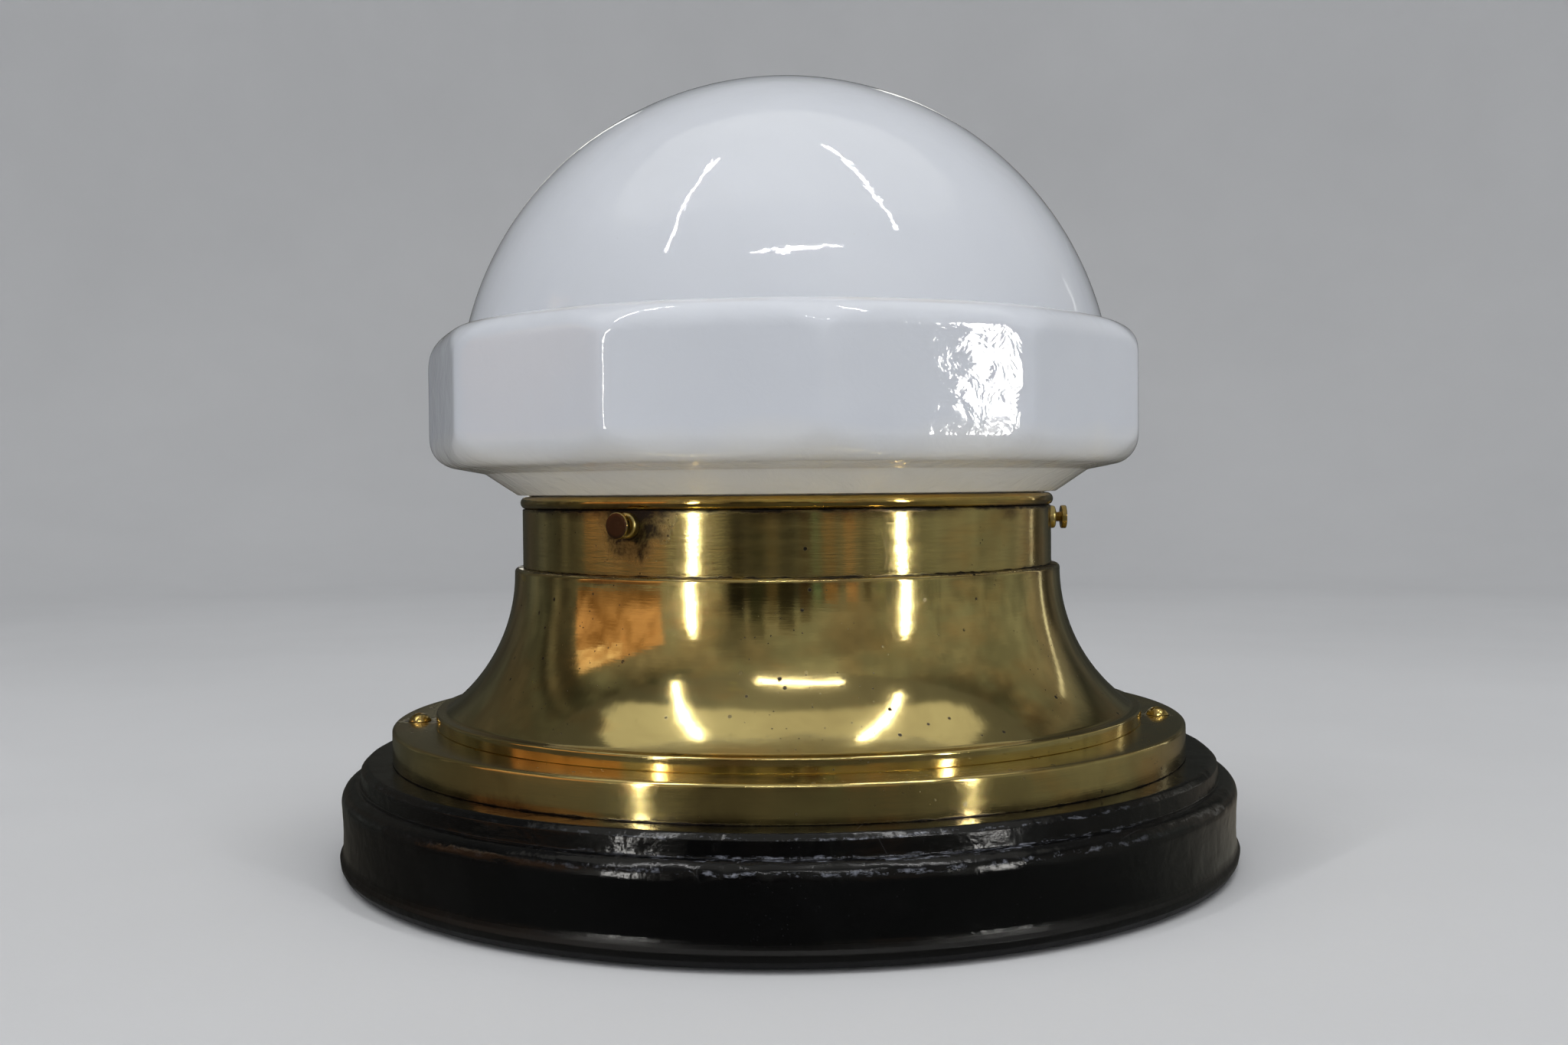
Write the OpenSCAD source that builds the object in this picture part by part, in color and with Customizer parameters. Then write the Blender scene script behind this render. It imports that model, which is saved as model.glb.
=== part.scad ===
// Table lamp: opal glass globe with a twelve sided band, held by three thumbscrews
// in a brass gallery on a flared brass body, on a turned and painted wooden plinth.
// Millimetres. Origin at the middle of the underside, +Z up, front towards -Y.

/* [Plinth] */
// How far the plinth's bottom bead stands out of the flange
plinth_step = 18.8; // [14:0.1:30]
// Height of the turned wood, without the felt
plinth_h = 36.5; // [34:0.5:50]
// Height of the bottom bead above the wood's underside
plinth_bead_z = 4; // [2:0.5:6]
// How far the side draws in above the bottom bead
plinth_waist = 1.6; // [0.5:0.1:4]
// Radius of the rounded shoulder moulding
plinth_ovolo_r = 5.8; // [4:0.1:7]
// Height of the top ring above the shoulder
plinth_ring_h = 6.7; // [5:0.1:9]
// Thickness of the felt under the plinth
felt_t = 1; // [0.8:0.1:2]
// Distance from the felt's edge to the plinth's edge
felt_inset = 6; // [3:0.5:15]
// Radius of the wiring recess in the underside
recess_r = 62; // [55:1:75]
// Depth of the wiring recess
recess_depth = 22; // [21:0.5:25]
// Radius of the hole from the recess to the top
wire_hole_r = 22; // [18:0.5:26]

/* [Cable inlet] */
// Height of the cable inlet's axis above the table
inlet_z = 13; // [12:0.5:16]
// Radius of the bore that the cable passes through
inlet_bore_r = 3.6; // [3:0.1:4.2]
// Wall of the inlet bush
inlet_wall = 2.3; // [1.5:0.1:3]
// Length of the bush's sleeve inside the wood
inlet_sleeve = 14; // [10:0.5:20]
// Radius of the bush's rim
inlet_rim_r = 8.5; // [7.5:0.1:10]
// Thickness of the bush's rim
inlet_rim_t = 2.2; // [1.5:0.1:3]

/* [Brass flange] */
// Width of the flange outside the two visible screws' heads
flange_margin = 4.9; // [2:0.1:8]
// Thickness of the flange
flange_t = 12; // [9:0.5:15]
// Width of the flange's ledge inside the body's foot
flange_ledge = 10.7; // [9.5:0.1:16]
// Rounding of the flange's top edge
flange_edge_r = 1.2; // [0.6:0.1:2]
// Gap between the foot rim and the visible screws' heads
screw_gap = 2.1; // [0.6:0.1:4]
// Angle of each visible screw from the front
screw_angle = 83; // [75:1:90]
// Diameter of the screws' round heads
screw_head_d = 8.6; // [8:0.1:9.2]
// Height of the screws' round heads
screw_head_h = 2.9; // [2.2:0.1:3.4]
// Radius of the screws' shanks
screw_shank_r = 2.2; // [1.8:0.1:2.5]
// Length of the screws below their heads
screw_len = 32; // [24:1:36]

/* [Flared body] */
// Width of the foot rim's flat brim outside the flare
foot_brim = 3.5; // [2:0.1:6]
// Width of the foot rim where it stands on the flange
foot_seat_w = 9.7; // [8:0.1:12]
// Height of the foot rim
foot_h = 4.9; // [4:0.1:6]
// How far the body's upper edge stands out of the collar
body_lip = 3.1; // [2:0.1:6]
// Height of the flare above the foot rim
flare_h = 52.1; // [48:0.1:56]
// How far the flare spreads from the upper edge to the foot's brim
flare_out = 25.8; // [20:0.1:32]
// Wall of the flared body
body_wall = 1.8; // [1.4:0.1:2.4]
// Rounding of the body's upper edge
body_edge_r = 1.5; // [0.8:0.1:1.7]
// Width of the body's top ledge inside the collar
top_ledge = 12.5; // [6:0.1:18]

/* [Gallery] */
// Outer diameter of the collar
collar_d = 200; // [199:0.1:201]
// Height of the collar
collar_h = 21.7; // [20:0.1:24]
// Wall of the collar
collar_wall = 1.5; // [1.2:0.1:1.8]
// Diameter of the rolled bead
bead_d = 4.7; // [4.2:0.1:5]
// How far the bead stands out of the collar
bead_out = 0.7; // [0.3:0.1:1.2]
// Wall of the cup inside the collar
cup_wall = 1.2; // [0.9:0.1:1.4]
// Width of the cup's floor
cup_floor_w = 13.2; // [11:0.1:16]
// Thickness of the seat ring under the glass
seat_t = 2; // [1.5:0.1:3]
// Width of the seat ring
seat_w = 9; // [6:0.5:11]

/* [Thumbscrews] */
// Gap between the bosses and the bead above them
boss_gap = 0.5; // [0.1:0.1:2]
// Angle of the first screw from the front, towards -X
thumb_angle = 31.5; // [0:0.5:60]
// Radius of the threaded shank
thumb_shank_r = 1.95; // [1.7:0.05:2.2]
// Diameter of the round head
thumb_head_d = 8.8; // [8:0.1:9.2]
// Thickness of the head
thumb_head_t = 2; // [1.5:0.1:2.5]
// Gap between the head and the boss at rest
thumb_gap = 2.1; // [1.8:0.1:3]
// Outer diameter of the brazed boss
boss_d = 8.6; // [8:0.1:9.2]
// How far the boss stands out of the collar
boss_h = 2.5; // [2:0.1:3]
// Radius of the boss where it passes through the walls
boss_spigot_r = 3.2; // [2.9:0.1:3.6]
// Radius of the soft tip let into the screw's end
tip_r = 1.25; // [1:0.05:1.35]
// How far the tip is let into the screw
tip_depth = 2.6; // [2:0.1:4]
// How far the tip stands out of the screw
tip_out = 0.9; // [0.6:0.1:1.2]

/* [Shade] */
// How far the cone under the band spreads
cone_out = 11.85; // [9:0.05:15]
// How far the flats stand out of the crease under the band
band_out = 16.85; // [14:0.05:18]
// How far the round globe stays inside the flats
globe_step = 7.65; // [6:0.05:9]
// Height of the band's middle above the globe's centre
globe_drop = 2.6; // [0:0.1:5]
// How much of each ridge's point is rounded off
ridge_cut = 0.15; // [0.1:0.05:0.6]
// Height of the faceted band
band_h = 50.4; // [46:0.1:54]
// Radius of the band's upper shoulder
shoulder_r = 13.7; // [12:0.1:14.5]
// Radius of the band's lower rounding
under_r = 12.9; // [11:0.1:13.5]
// Radius of the flats' own rounding at the top
arch_top_r = 10.5; // [9:0.1:11]
// Radius of the flats' own rounding at the bottom
arch_low_r = 9.5; // [8.5:0.1:10.5]
// Turn of the band, as the first ridge's angle from the front
ridge_angle = 4.9; // [0:0.1:15]
// Height of the crease below the band's underside
crease_drop = 1.8; // [1:0.1:2.5]
// Height of the neck's cone
cone_h = 8; // [7:0.1:9]
// Thickness of the glass
glass_t = 4; // [3:0.1:4.5]
// Depth of the groove round the neck
groove_depth = 1.6; // [1.2:0.1:2]
// Height of the lip at the neck's end
lip_h = 7.2; // [5.5:0.1:8]
// Gap between the glass and the metal that it stands clear of
glass_gap = 0.4; // [0.3:0.05:0.6]

/* [Lampholder] */
// Width of the cross bar
bar_w = 20; // [16:0.5:26]
// Thickness of the cross bar
bar_t = 2.5; // [2:0.1:3.5]
// Distance of the bar's screws from its ends
bar_screw_inset = 4.4; // [4:0.1:6]
// Length of the bar's screws in the flange
bar_screw_len = 7; // [5:0.1:8]
// Distance of the bar's spare holes from its middle
bar_hole_x = 45; // [35:1:60]
// Radius of the bar's spare holes
bar_hole_r = 2.6; // [2:0.1:3.5]
// Radius of the hollow threaded nipple
nipple_r = 5; // [4.5:0.1:5.5]
// Radius of the nipple's bore
nipple_bore_r = 3.7; // [3.4:0.1:3.9]
// Width across the flats of the nipple's nuts
nut_flats = 14; // [13:0.5:16]
// Thickness of the nipple's nuts
nut_t = 3; // [2.5:0.1:3.5]
// Radius of the porcelain base
holder_r = 22; // [21.5:0.1:24]
// Height of the porcelain base
holder_base_h = 24; // [22:0.5:28]
// Wall of the porcelain base
holder_wall = 4; // [3:0.1:4.5]
// Thickness of the porcelain base's floor
holder_floor = 5; // [4:0.1:6]
// Thickness of the contact block
block_t = 7; // [6:0.1:8]
// Distance of the terminal screws from the middle
terminal_x = 10; // [9.5:0.1:11]
// Height of the porcelain skirt
skirt_h = 28; // [25:0.5:32]

/* [Bulb] */
// Diameter of the bulb's glass
bulb_d = 60; // [50:0.5:65]
// Length of the bulb with its cap
bulb_len = 105; // [98:0.5:110]
// Radius of the bulb's screw cap at its crests
cap_r = 13.2; // [13:0.05:13.3]
// Length of the screw cap
cap_len = 24; // [22:0.5:26]
// Length of the black insulator below the cap
insulator_len = 3.2; // [2.5:0.1:4]
// Drop of the glass stem's tip below the middle of the bulb
stem_drop = 12; // [9:0.5:15]
// Radius of the filament's arc
arc_r = 13; // [9:0.5:16]
// Lift of the filament above the middle of the bulb
arc_lift = 2; // [0:0.5:5]

/* [Wiring] */
// Diameter of each insulated lead
lead_d = 2.4; // [2:0.1:2.6]
// Length of the terminal block
terminal_l = 26; // [22:0.5:32]
// Width of the terminal block
terminal_w = 18; // [16:0.5:22]
// Height of the terminal block
terminal_h = 13; // [11:0.5:15]

/* [Hidden] */

$fn = 96;
// Free space kept between pieces that move against each other
free_gap = 0.3;
// Radial play of a shaft that turns or slides in its bore
run_play = 0.05;
// Play of a fixed piece in its seat
seat_play = 0.1;
// Overreach that makes a cut pass cleanly through a face
over = 1;

// Heights of the stacked pieces
plinth_top_z = felt_t + plinth_h;
flange_top_z = plinth_top_z + flange_t;
foot_top_z = flange_top_z + foot_h;
body_top_z = foot_top_z + flare_h;
collar_top_z = body_top_z + collar_h;
bead_z = collar_top_z + bead_d / 2;
thumb_axis_z = collar_top_z - boss_gap - boss_d / 2;

// Radii from the collar outwards
collar_r = collar_d / 2;
collar_in_r = collar_r - collar_wall;
body_top_r = collar_r + body_lip;
body_hole_r = collar_in_r - top_ledge;
flare_low_r = body_top_r + flare_out;
foot_r = flare_low_r + foot_brim;
foot_bore_r = foot_r - foot_seat_w;
flange_hole_r = foot_bore_r - flange_ledge;
screw_circle_r = foot_r + screw_gap + screw_head_d / 2;
flange_r = screw_circle_r + screw_head_d / 2 + flange_margin;
plinth_r = flange_r + plinth_step;
far = 4 * plinth_r;

// Plinth
side_r = plinth_r - plinth_waist;
ring_base_z = plinth_top_z - plinth_ring_h;
ovolo_c = [side_r + 0.5 - plinth_ovolo_r, ring_base_z - plinth_ovolo_r];
side_h = ovolo_c[1] - felt_t - plinth_bead_z;
ring_r = ovolo_c[0] - 0.6;
felt_r = plinth_r - felt_inset;
recess_top_z = felt_t + recess_depth;
inlet_spot_r = inlet_rim_r + seat_play;
inlet_face_y = plinth_r - 1.2;
inlet_seat_y = inlet_face_y - inlet_rim_t;
inlet_out_r = inlet_bore_r + inlet_wall;

// Flange and body
body_screw_r = 1.9;
body_screw_z = foot_top_z - 1.5;
bar_screw_r = 1.9;
flare_drop = flare_h - body_edge_r;
flare_curve_r = (flare_out * flare_out + flare_drop * flare_drop) / (2 * flare_out);
flare_c = [body_top_r + flare_curve_r, body_top_z - body_edge_r];

// Gallery
cup_r = collar_in_r - seat_play;
cup_in_r = cup_r - cup_wall;
cup_hole_r = cup_in_r - cup_floor_w;
bead_c = [collar_r + bead_out - bead_d / 2, bead_z];
bead_in_r = bead_c[0] - bead_d / 2;
cup_floor_z = body_top_z + cup_wall;
seat_top_z = cup_floor_z + seat_t;

// Shade
neck_flat_z = bead_z + bead_d / 2 + glass_gap;
lip_r = bead_in_r - glass_gap;
groove_r = lip_r - groove_depth;
neck_end_z = seat_top_z + glass_gap;
crease_z = neck_flat_z + cone_h;
band_low_z = crease_z + crease_drop;
band_top_z = band_low_z + band_h;
globe_z = (band_low_z + band_top_z) / 2 - globe_drop;
cone_r = bead_c[0] + 3.3;
crease_r = cone_r + cone_out;
flat_r = crease_r + band_out;
globe_r = flat_r - globe_step;
ridge_r = flat_r / cos(15) - ridge_cut;
arch_rise = 0.7;
neck_in_r = groove_r - glass_t;
shoulder_c = [ridge_r - shoulder_r, band_top_z - shoulder_r];
under_c = [ridge_r - under_r, band_low_z + under_r];

// Thumbscrews, measured along the screw from the lamp's axis
tip_end = lip_r + free_gap;
shank_end = tip_end + tip_out;
boss_in = cup_in_r - 0.2;
boss_out = collar_r + boss_h;
head_in = boss_out + thumb_gap;
head_out = head_in + thumb_head_t;
boss_bore_r = thumb_shank_r + run_play;
boss_round = 1;

// Lampholder
bar_top_z = flange_top_z + bar_t;
bar_half = foot_bore_r - 1.5;
bar_screw_x = bar_half - bar_screw_inset;
base_top_z = bar_top_z + holder_base_h;
base_in_r = holder_r - holder_wall;
floor_top_z = bar_top_z + holder_floor;
block_top_z = base_top_z;
block_low_z = block_top_z - block_t;
skirt_top_z = base_top_z + skirt_h;
shell_in_r = cap_r + 0.25;
shell_r = shell_in_r + 0.4;
shell_top_z = skirt_top_z - 1.5;
skirt_in_r = shell_r + seat_play;
skirt_r = holder_r + 1;
contact_top_z = block_top_z + 3;
nipple_low_z = flange_top_z - nut_t - 3.5;
nipple_top_z = floor_top_z + nut_t + 2;

// Bulb
bulb_low_z = contact_top_z + free_gap;
bulb_top_z = bulb_low_z + bulb_len;
cap_low_z = bulb_low_z + insulator_len + 1;
cap_top_z = cap_low_z + cap_len;
bulb_r = bulb_d / 2;
bulb_c_z = bulb_top_z - bulb_r;
bulb_neck_r = cap_r - 1.2;
bulb_wall = 0.8;
stem_top_z = bulb_c_z - stem_drop;
arc_z = bulb_c_z + arc_lift;
wire_r = 0.4;

// Terminal block in the recess
terminal_top_z = recess_top_z;
terminal_low_z = terminal_top_z - terminal_h;
terminal_y = 38;

// Colours as the photograph shows them
brass = [0.62, 0.52, 0.27];
bright_brass = [0.83, 0.66, 0.27];
black_paint = [0.05, 0.05, 0.055];
opal = [0.9, 0.92, 0.94];
porcelain = [0.9, 0.88, 0.83];
steel = [0.6, 0.61, 0.62];

// A ring turned about the lamp's axis from a rectangle in its section
module turned_ring(r_in, r_out, z_low, z_high) {
    rotate_extrude() translate([r_in, z_low]) square([r_out - r_in, z_high - z_low]);
}

// Places a piece drawn along +X on the axis of thumbscrew number i
module on_thumb_axis(i) {
    translate([0, 0, thumb_axis_z]) rotate([0, 0, -90 - thumb_angle + 120 * i]) children();
}

// A round bar drawn along +X from a to b
module bar_x(r, a, b) {
    translate([a, 0, 0]) rotate([0, 90, 0]) cylinder(r = r, h = b - a);
}

// Places the two visible flange screws
module at_flange_screws() {
    for (side = [-1, 1])
        rotate([0, 0, -90 + side * screw_angle]) translate([screw_circle_r, 0, 0]) children();
}

// Places the three hidden screws that hold the foot rim to the flange
module at_body_screws() {
    for (i = [0 : 2])
        rotate([0, 0, 30 + 120 * i]) translate([(foot_bore_r + foot_r) / 2, 0, 0]) children();
}

// Section of the turned plinth
module plinth_section() {
    difference() {
        union() {
            polygon([
                [0, felt_t], [plinth_r - 1.4, felt_t], [plinth_r, felt_t + plinth_bead_z],
                [side_r + 0.2, felt_t + plinth_bead_z + 0.25 * side_h],
                [side_r, felt_t + plinth_bead_z + 0.45 * side_h],
                [side_r + 0.2, felt_t + plinth_bead_z + 0.7 * side_h], [side_r + 0.5, ovolo_c[1]],
                [ovolo_c[0], ovolo_c[1]], [ovolo_c[0], ring_base_z], [ring_r, ring_base_z],
                [ring_r - 0.6, plinth_top_z - 2], [ring_r - 0.6 - 2, plinth_top_z],
                [0, plinth_top_z]
            ]);
            translate(ovolo_c) circle(r = plinth_ovolo_r);
            translate([ring_r - 0.6 - 2, plinth_top_z - 2]) circle(r = 2);
        }
        translate([-over, felt_t - over]) square([recess_r + over, recess_depth + over]);
        translate([-over, felt_t]) square([wire_hole_r + over, plinth_h + over]);
    }
}

module plinth() {
    color(black_paint)
    difference() {
        rotate_extrude() plinth_section();
        // Cable channel from the back to the recess, with a seat for the bush
        translate([0, recess_r - 3, inlet_z]) rotate([-90, 0, 0])
            cylinder(r = inlet_bore_r + 0.6, h = plinth_r);
        translate([0, inlet_seat_y - inlet_sleeve - seat_play, inlet_z]) rotate([-90, 0, 0])
            cylinder(r = inlet_out_r + run_play, h = plinth_r);
        translate([0, inlet_seat_y, inlet_z]) rotate([-90, 0, 0])
            cylinder(r = inlet_spot_r, h = 10);
        at_flange_screws()
            translate([0, 0, flange_top_z - screw_len - 1])
            cylinder(r = screw_shank_r + run_play, h = screw_len);
        // Pilot hole of the terminal block's screw
        translate([0, terminal_y, recess_top_z - over])
            cylinder(r = 1.5 + run_play, h = 8 + over);
    }
}

module felt_pad() {
    color([0.13, 0.22, 0.15]) cylinder(r = felt_r, h = felt_t);
}

module cable_bush() {
    color(brass)
    translate([0, 0, inlet_z]) rotate([-90, 0, 0]) difference() {
        union() {
            translate([0, 0, inlet_seat_y - inlet_sleeve])
                cylinder(r = inlet_out_r, h = inlet_sleeve + over);
            translate([0, 0, inlet_seat_y])
                rotate_extrude() difference() {
                    square([inlet_rim_r, inlet_rim_t]);
                    translate([inlet_rim_r - 1, inlet_rim_t]) rotate(-45) square([2, 2]);
                }
        }
        translate([0, 0, inlet_seat_y - inlet_sleeve - over])
            cylinder(r = inlet_bore_r, h = inlet_sleeve + inlet_rim_t + 2 * over);
    }
}

module base_flange() {
    color(brass)
    difference() {
        rotate_extrude() {
            translate([flange_hole_r, plinth_top_z])
                square([flange_r - flange_edge_r - flange_hole_r, flange_t]);
            translate([flange_hole_r, plinth_top_z])
                square([flange_r - flange_hole_r, flange_t - flange_edge_r]);
            translate([flange_r - flange_edge_r, flange_top_z - flange_edge_r])
                circle(r = flange_edge_r);
        }
        at_flange_screws()
            translate([0, 0, plinth_top_z - over])
            cylinder(r = screw_shank_r + 0.3, h = flange_t + 2 * over);
        at_body_screws() {
            translate([0, 0, plinth_top_z - over])
                cylinder(r = body_screw_r + 0.2, h = flange_t + 2 * over);
            translate([0, 0, plinth_top_z - over])
                cylinder(r = 2 * body_screw_r + 0.2, h = over + 3);
        }
        for (side = [-1, 1])
            translate([side * bar_screw_x, 0, flange_top_z - bar_screw_len - 1])
            cylinder(r = bar_screw_r + run_play, h = bar_screw_len + 1 + over);
    }
}

// Two round headed wood screws with a slot
module flange_screws() {
    head_r = screw_head_d / 2;
    dome_r = (head_r * head_r + screw_head_h * screw_head_h) / (2 * screw_head_h);
    color(bright_brass)
    at_flange_screws() difference() {
        union() {
            translate([0, 0, flange_top_z]) intersection() {
                translate([0, 0, screw_head_h - dome_r]) sphere(r = dome_r);
                cylinder(r = head_r - 0.05, h = screw_head_h + over);
            }
            translate([0, 0, flange_top_z - screw_len + 6])
                cylinder(r = screw_shank_r, h = screw_len - 6 + 0.5);
            translate([0, 0, flange_top_z - screw_len])
                cylinder(r1 = 0.6, r2 = screw_shank_r, h = 6);
        }
        rotate([0, 0, 35]) translate([-head_r - over, -0.55, flange_top_z + screw_head_h - 1.3])
            cube([2 * (head_r + over), 1.1, 2]);
    }
}

// Three hidden machine screws, heads sunk in the flange's underside
module body_screws() {
    color(steel)
    at_body_screws() difference() {
        union() {
            translate([0, 0, plinth_top_z + 0.2]) cylinder(r = 2 * body_screw_r, h = 2.6);
            translate([0, 0, plinth_top_z + 1])
                cylinder(r = body_screw_r, h = body_screw_z - plinth_top_z - 1);
        }
        translate([-2 * body_screw_r - over, -0.5, plinth_top_z - 0.2])
            cube([4 * body_screw_r + 2 * over, 1, 1.2]);
    }
}

// Section under the flare's curve, grown inward by the wall
module flare_section(inward, low_z, high_z) {
    difference() {
        translate([0, low_z]) square([flare_c[0] - 1, high_z - low_z]);
        translate(flare_c) circle(r = flare_curve_r + inward, $fn = 240);
        translate([body_top_r - inward, flare_c[1]]) square([flare_c[0], far]);
    }
}

module body_section() {
    difference() {
        union() {
            translate([0, flange_top_z]) square([foot_r, foot_h - 0.7]);
            translate([0, flange_top_z]) square([foot_r - 0.7, foot_h]);
            translate([foot_r - 0.7, foot_top_z - 0.7]) circle(r = 0.7);
            flare_section(0, foot_top_z, flare_c[1]);
            translate([0, foot_top_z]) square([body_top_r - body_edge_r, flare_h]);
            translate([body_top_r - body_edge_r, flare_c[1]]) circle(r = body_edge_r);
        }
        // Hollow inside, following the flare
        intersection() {
            flare_section(body_wall, flange_top_z - over, body_top_z - body_wall);
            translate([-over, flange_top_z - over])
                square([foot_bore_r + over, body_top_z - body_wall - flange_top_z + over]);
        }
        translate([-over, flange_top_z - over])
            square([body_hole_r + over, foot_h + flare_h + 2 * over]);
    }
}

module flared_body() {
    color(brass)
    difference() {
        rotate_extrude() body_section();
        at_body_screws()
            translate([0, 0, flange_top_z - over])
            cylinder(r = body_screw_r + run_play, h = body_screw_z - flange_top_z + over + 0.2);
    }
}

module collar() {
    color(brass)
    difference() {
        turned_ring(collar_in_r, collar_r, body_top_z, collar_top_z);
        for (i = [0 : 2]) on_thumb_axis(i)
            bar_x(boss_spigot_r + run_play, collar_in_r - 2, collar_r + 2);
    }
}

// Spun cup with a rolled, wired bead that rests on the collar
module gallery_cup() {
    color(brass)
    difference() {
        rotate_extrude() {
            translate([cup_hole_r, body_top_z]) square([cup_r - cup_hole_r, cup_wall]);
            translate([cup_in_r, body_top_z]) square([cup_wall, bead_z - body_top_z]);
            translate(bead_c) circle(r = bead_d / 2);
        }
        for (i = [0 : 2]) on_thumb_axis(i)
            bar_x(boss_spigot_r + run_play, cup_in_r - 2, cup_r + 2);
    }
}

module seat_ring() {
    seat_r = cup_in_r - 1.2;
    color([0.62, 0.47, 0.33]) turned_ring(seat_r - seat_w, seat_r, cup_floor_z, seat_top_z);
}

// Three bosses, brazed in the collar and tapped for the thumbscrews
module screw_bosses() {
    color(brass)
    for (i = [0 : 2]) on_thumb_axis(i) rotate([0, 90, 0]) rotate_extrude() difference() {
        union() {
            translate([0, boss_in]) square([boss_spigot_r, collar_r - boss_in + 0.5]);
            translate([0, collar_r]) square([boss_d / 2, boss_h - boss_round]);
            translate([0, collar_r]) square([boss_d / 2 - boss_round, boss_h]);
            translate([boss_d / 2 - boss_round, boss_out - boss_round]) circle(r = boss_round);
        }
        translate([-boss_bore_r, boss_in - over]) square([2 * boss_bore_r, far]);
    }
}

// Thumbscrew: round head, neck and shank with a blind seat for its soft tip
module thumbscrew(i) {
    color(bright_brass)
    on_thumb_axis(i) difference() {
        union() {
            bar_x(thumb_shank_r, shank_end, head_in + 0.5);
            translate([head_in, 0, 0]) rotate([0, 90, 0]) rotate_extrude() {
                square([thumb_head_d / 2 - 0.3, thumb_head_t]);
                translate([0, 0.3]) square([thumb_head_d / 2, thumb_head_t - 0.6]);
            }
        }
        bar_x(tip_r + run_play, shank_end - over, tip_end + tip_out + tip_depth + 0.1);
    }
}
module thumbscrew_1() { thumbscrew(0); }
module thumbscrew_2() { thumbscrew(1); }
module thumbscrew_3() { thumbscrew(2); }

// Soft tip that meets the glass, let into the screw's end
module screw_tip(i) {
    color([0.35, 0.2, 0.12]) on_thumb_axis(i) bar_x(tip_r, tip_end, shank_end + tip_depth);
}
module screw_tip_1() { screw_tip(0); }
module screw_tip_2() { screw_tip(1); }
module screw_tip_3() { screw_tip(2); }

// Point where the straight from p touches the circle at c of radius r, below it
function touch_angle(p, c, r) =
    atan2(c[1] - p[1], c[0] - p[0]) - asin(r / norm(c - p));
function touch_point(p, c, r) =
    let (a = touch_angle(p, c, r), d = sqrt(pow(norm(c - p), 2) - r * r))
    [p[0] + d * cos(a), p[1] + d * sin(a)];

// Outer section of the glass: globe, band, cone, neck, groove and lip
module shade_section() {
    crease = [crease_r, crease_z];
    under = touch_point(crease, under_c, under_r);
    intersection() {
        translate([0, globe_z]) circle(r = globe_r, $fn = 240);
        translate([0, band_top_z - 4]) square([globe_r + over, globe_r]);
    }
    translate([0, band_low_z + under_r])
        square([ridge_r, band_h - under_r - shoulder_r]);
    translate([0, band_low_z + under_r]) square([shoulder_c[0], band_h - under_r]);
    intersection() {
        translate(shoulder_c) circle(r = shoulder_r);
        translate([0, shoulder_c[1] - over]) square([ridge_r + over, shoulder_r + 2 * over]);
    }
    intersection() {
        translate(under_c) circle(r = under_r);
        translate([0, band_low_z - over]) square([ridge_r + over, under_r + 2 * over]);
    }
    polygon([
        [0, neck_end_z], [lip_r - 1, neck_end_z], [lip_r, neck_end_z + 1],
        [lip_r, neck_end_z + lip_h - 1], [groove_r, neck_end_z + lip_h + 0.8],
        [groove_r, neck_flat_z - 4], [groove_r + 1.3, neck_flat_z - 1],
        [groove_r + 4.4, neck_flat_z], [cone_r, neck_flat_z], crease, under,
        [under_c[0], under_c[1]], [0, under_c[1]]
    ]);
}

// Hollow of the glass, a wall's thickness inside the outer form
module shade_hollow() {
    in_r = flat_r - glass_t;
    in_low = band_low_z + glass_t;
    in_top = band_top_z - glass_t;
    corner = shoulder_r - glass_t;
    intersection() {
        translate([0, globe_z]) circle(r = globe_r - glass_t, $fn = 240);
        translate([0, in_top - 4]) square([globe_r, globe_r]);
    }
    translate([0, in_low + corner]) square([in_r, in_top - in_low - 2 * corner]);
    translate([0, in_low]) square([in_r - corner, in_top - in_low]);
    translate([in_r - corner, in_top - corner]) circle(r = corner);
    translate([in_r - corner, in_low + corner]) circle(r = corner);
    polygon([
        [0, neck_end_z - over], [neck_in_r, neck_end_z - over],
        [neck_in_r, neck_flat_z + glass_t - 3], [neck_in_r + 4, neck_flat_z + glass_t],
        [cone_r - 2.2, neck_flat_z + glass_t], [crease_r - 2.2, crease_z + glass_t],
        [crease_r + 3, in_low], [crease_r + 3, in_low + over], [0, in_low + over]
    ]);
}

// Section across two opposite flats: the flats and their own soft roundings
module flats_section() {
    for (side = [-1, 1]) {
        translate([side * (flat_r - arch_top_r), band_top_z + arch_rise - arch_top_r])
            circle(r = arch_top_r);
        translate([side * (flat_r - arch_low_r), band_low_z - arch_rise + arch_low_r])
            circle(r = arch_low_r);
    }
    translate([-flat_r, band_low_z - arch_rise + arch_low_r])
        square([2 * flat_r, band_h + 2 * arch_rise - arch_low_r - arch_top_r]);
    translate([-(flat_r - arch_top_r), band_low_z])
        square([2 * (flat_r - arch_top_r), globe_r + band_h]);
    translate([-(flat_r - arch_low_r), neck_end_z - over])
        square([2 * (flat_r - arch_low_r), band_low_z - neck_end_z + under_r]);
}

// Opal glass: a turned form cut by twelve flats round its band, and hollow inside
module shade() {
    color(opal)
    difference() {
        intersection() {
            rotate_extrude() intersection() {
                shade_section();
                translate([0, neck_end_z - over]) square([ridge_r + over, far]);
            }
            flats_block();
        }
        rotate_extrude() intersection() {
            shade_hollow();
            translate([0, neck_end_z - 2 * over]) square([ridge_r, far]);
        }
    }
}

// What the six pairs of flats leave standing
module flats_block() {
    intersection_for (k = [0 : 5])
        rotate([0, 0, -75 + ridge_angle + 30 * k]) rotate([90, 0, 0])
        linear_extrude(far, center = true) flats_section();
}

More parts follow.
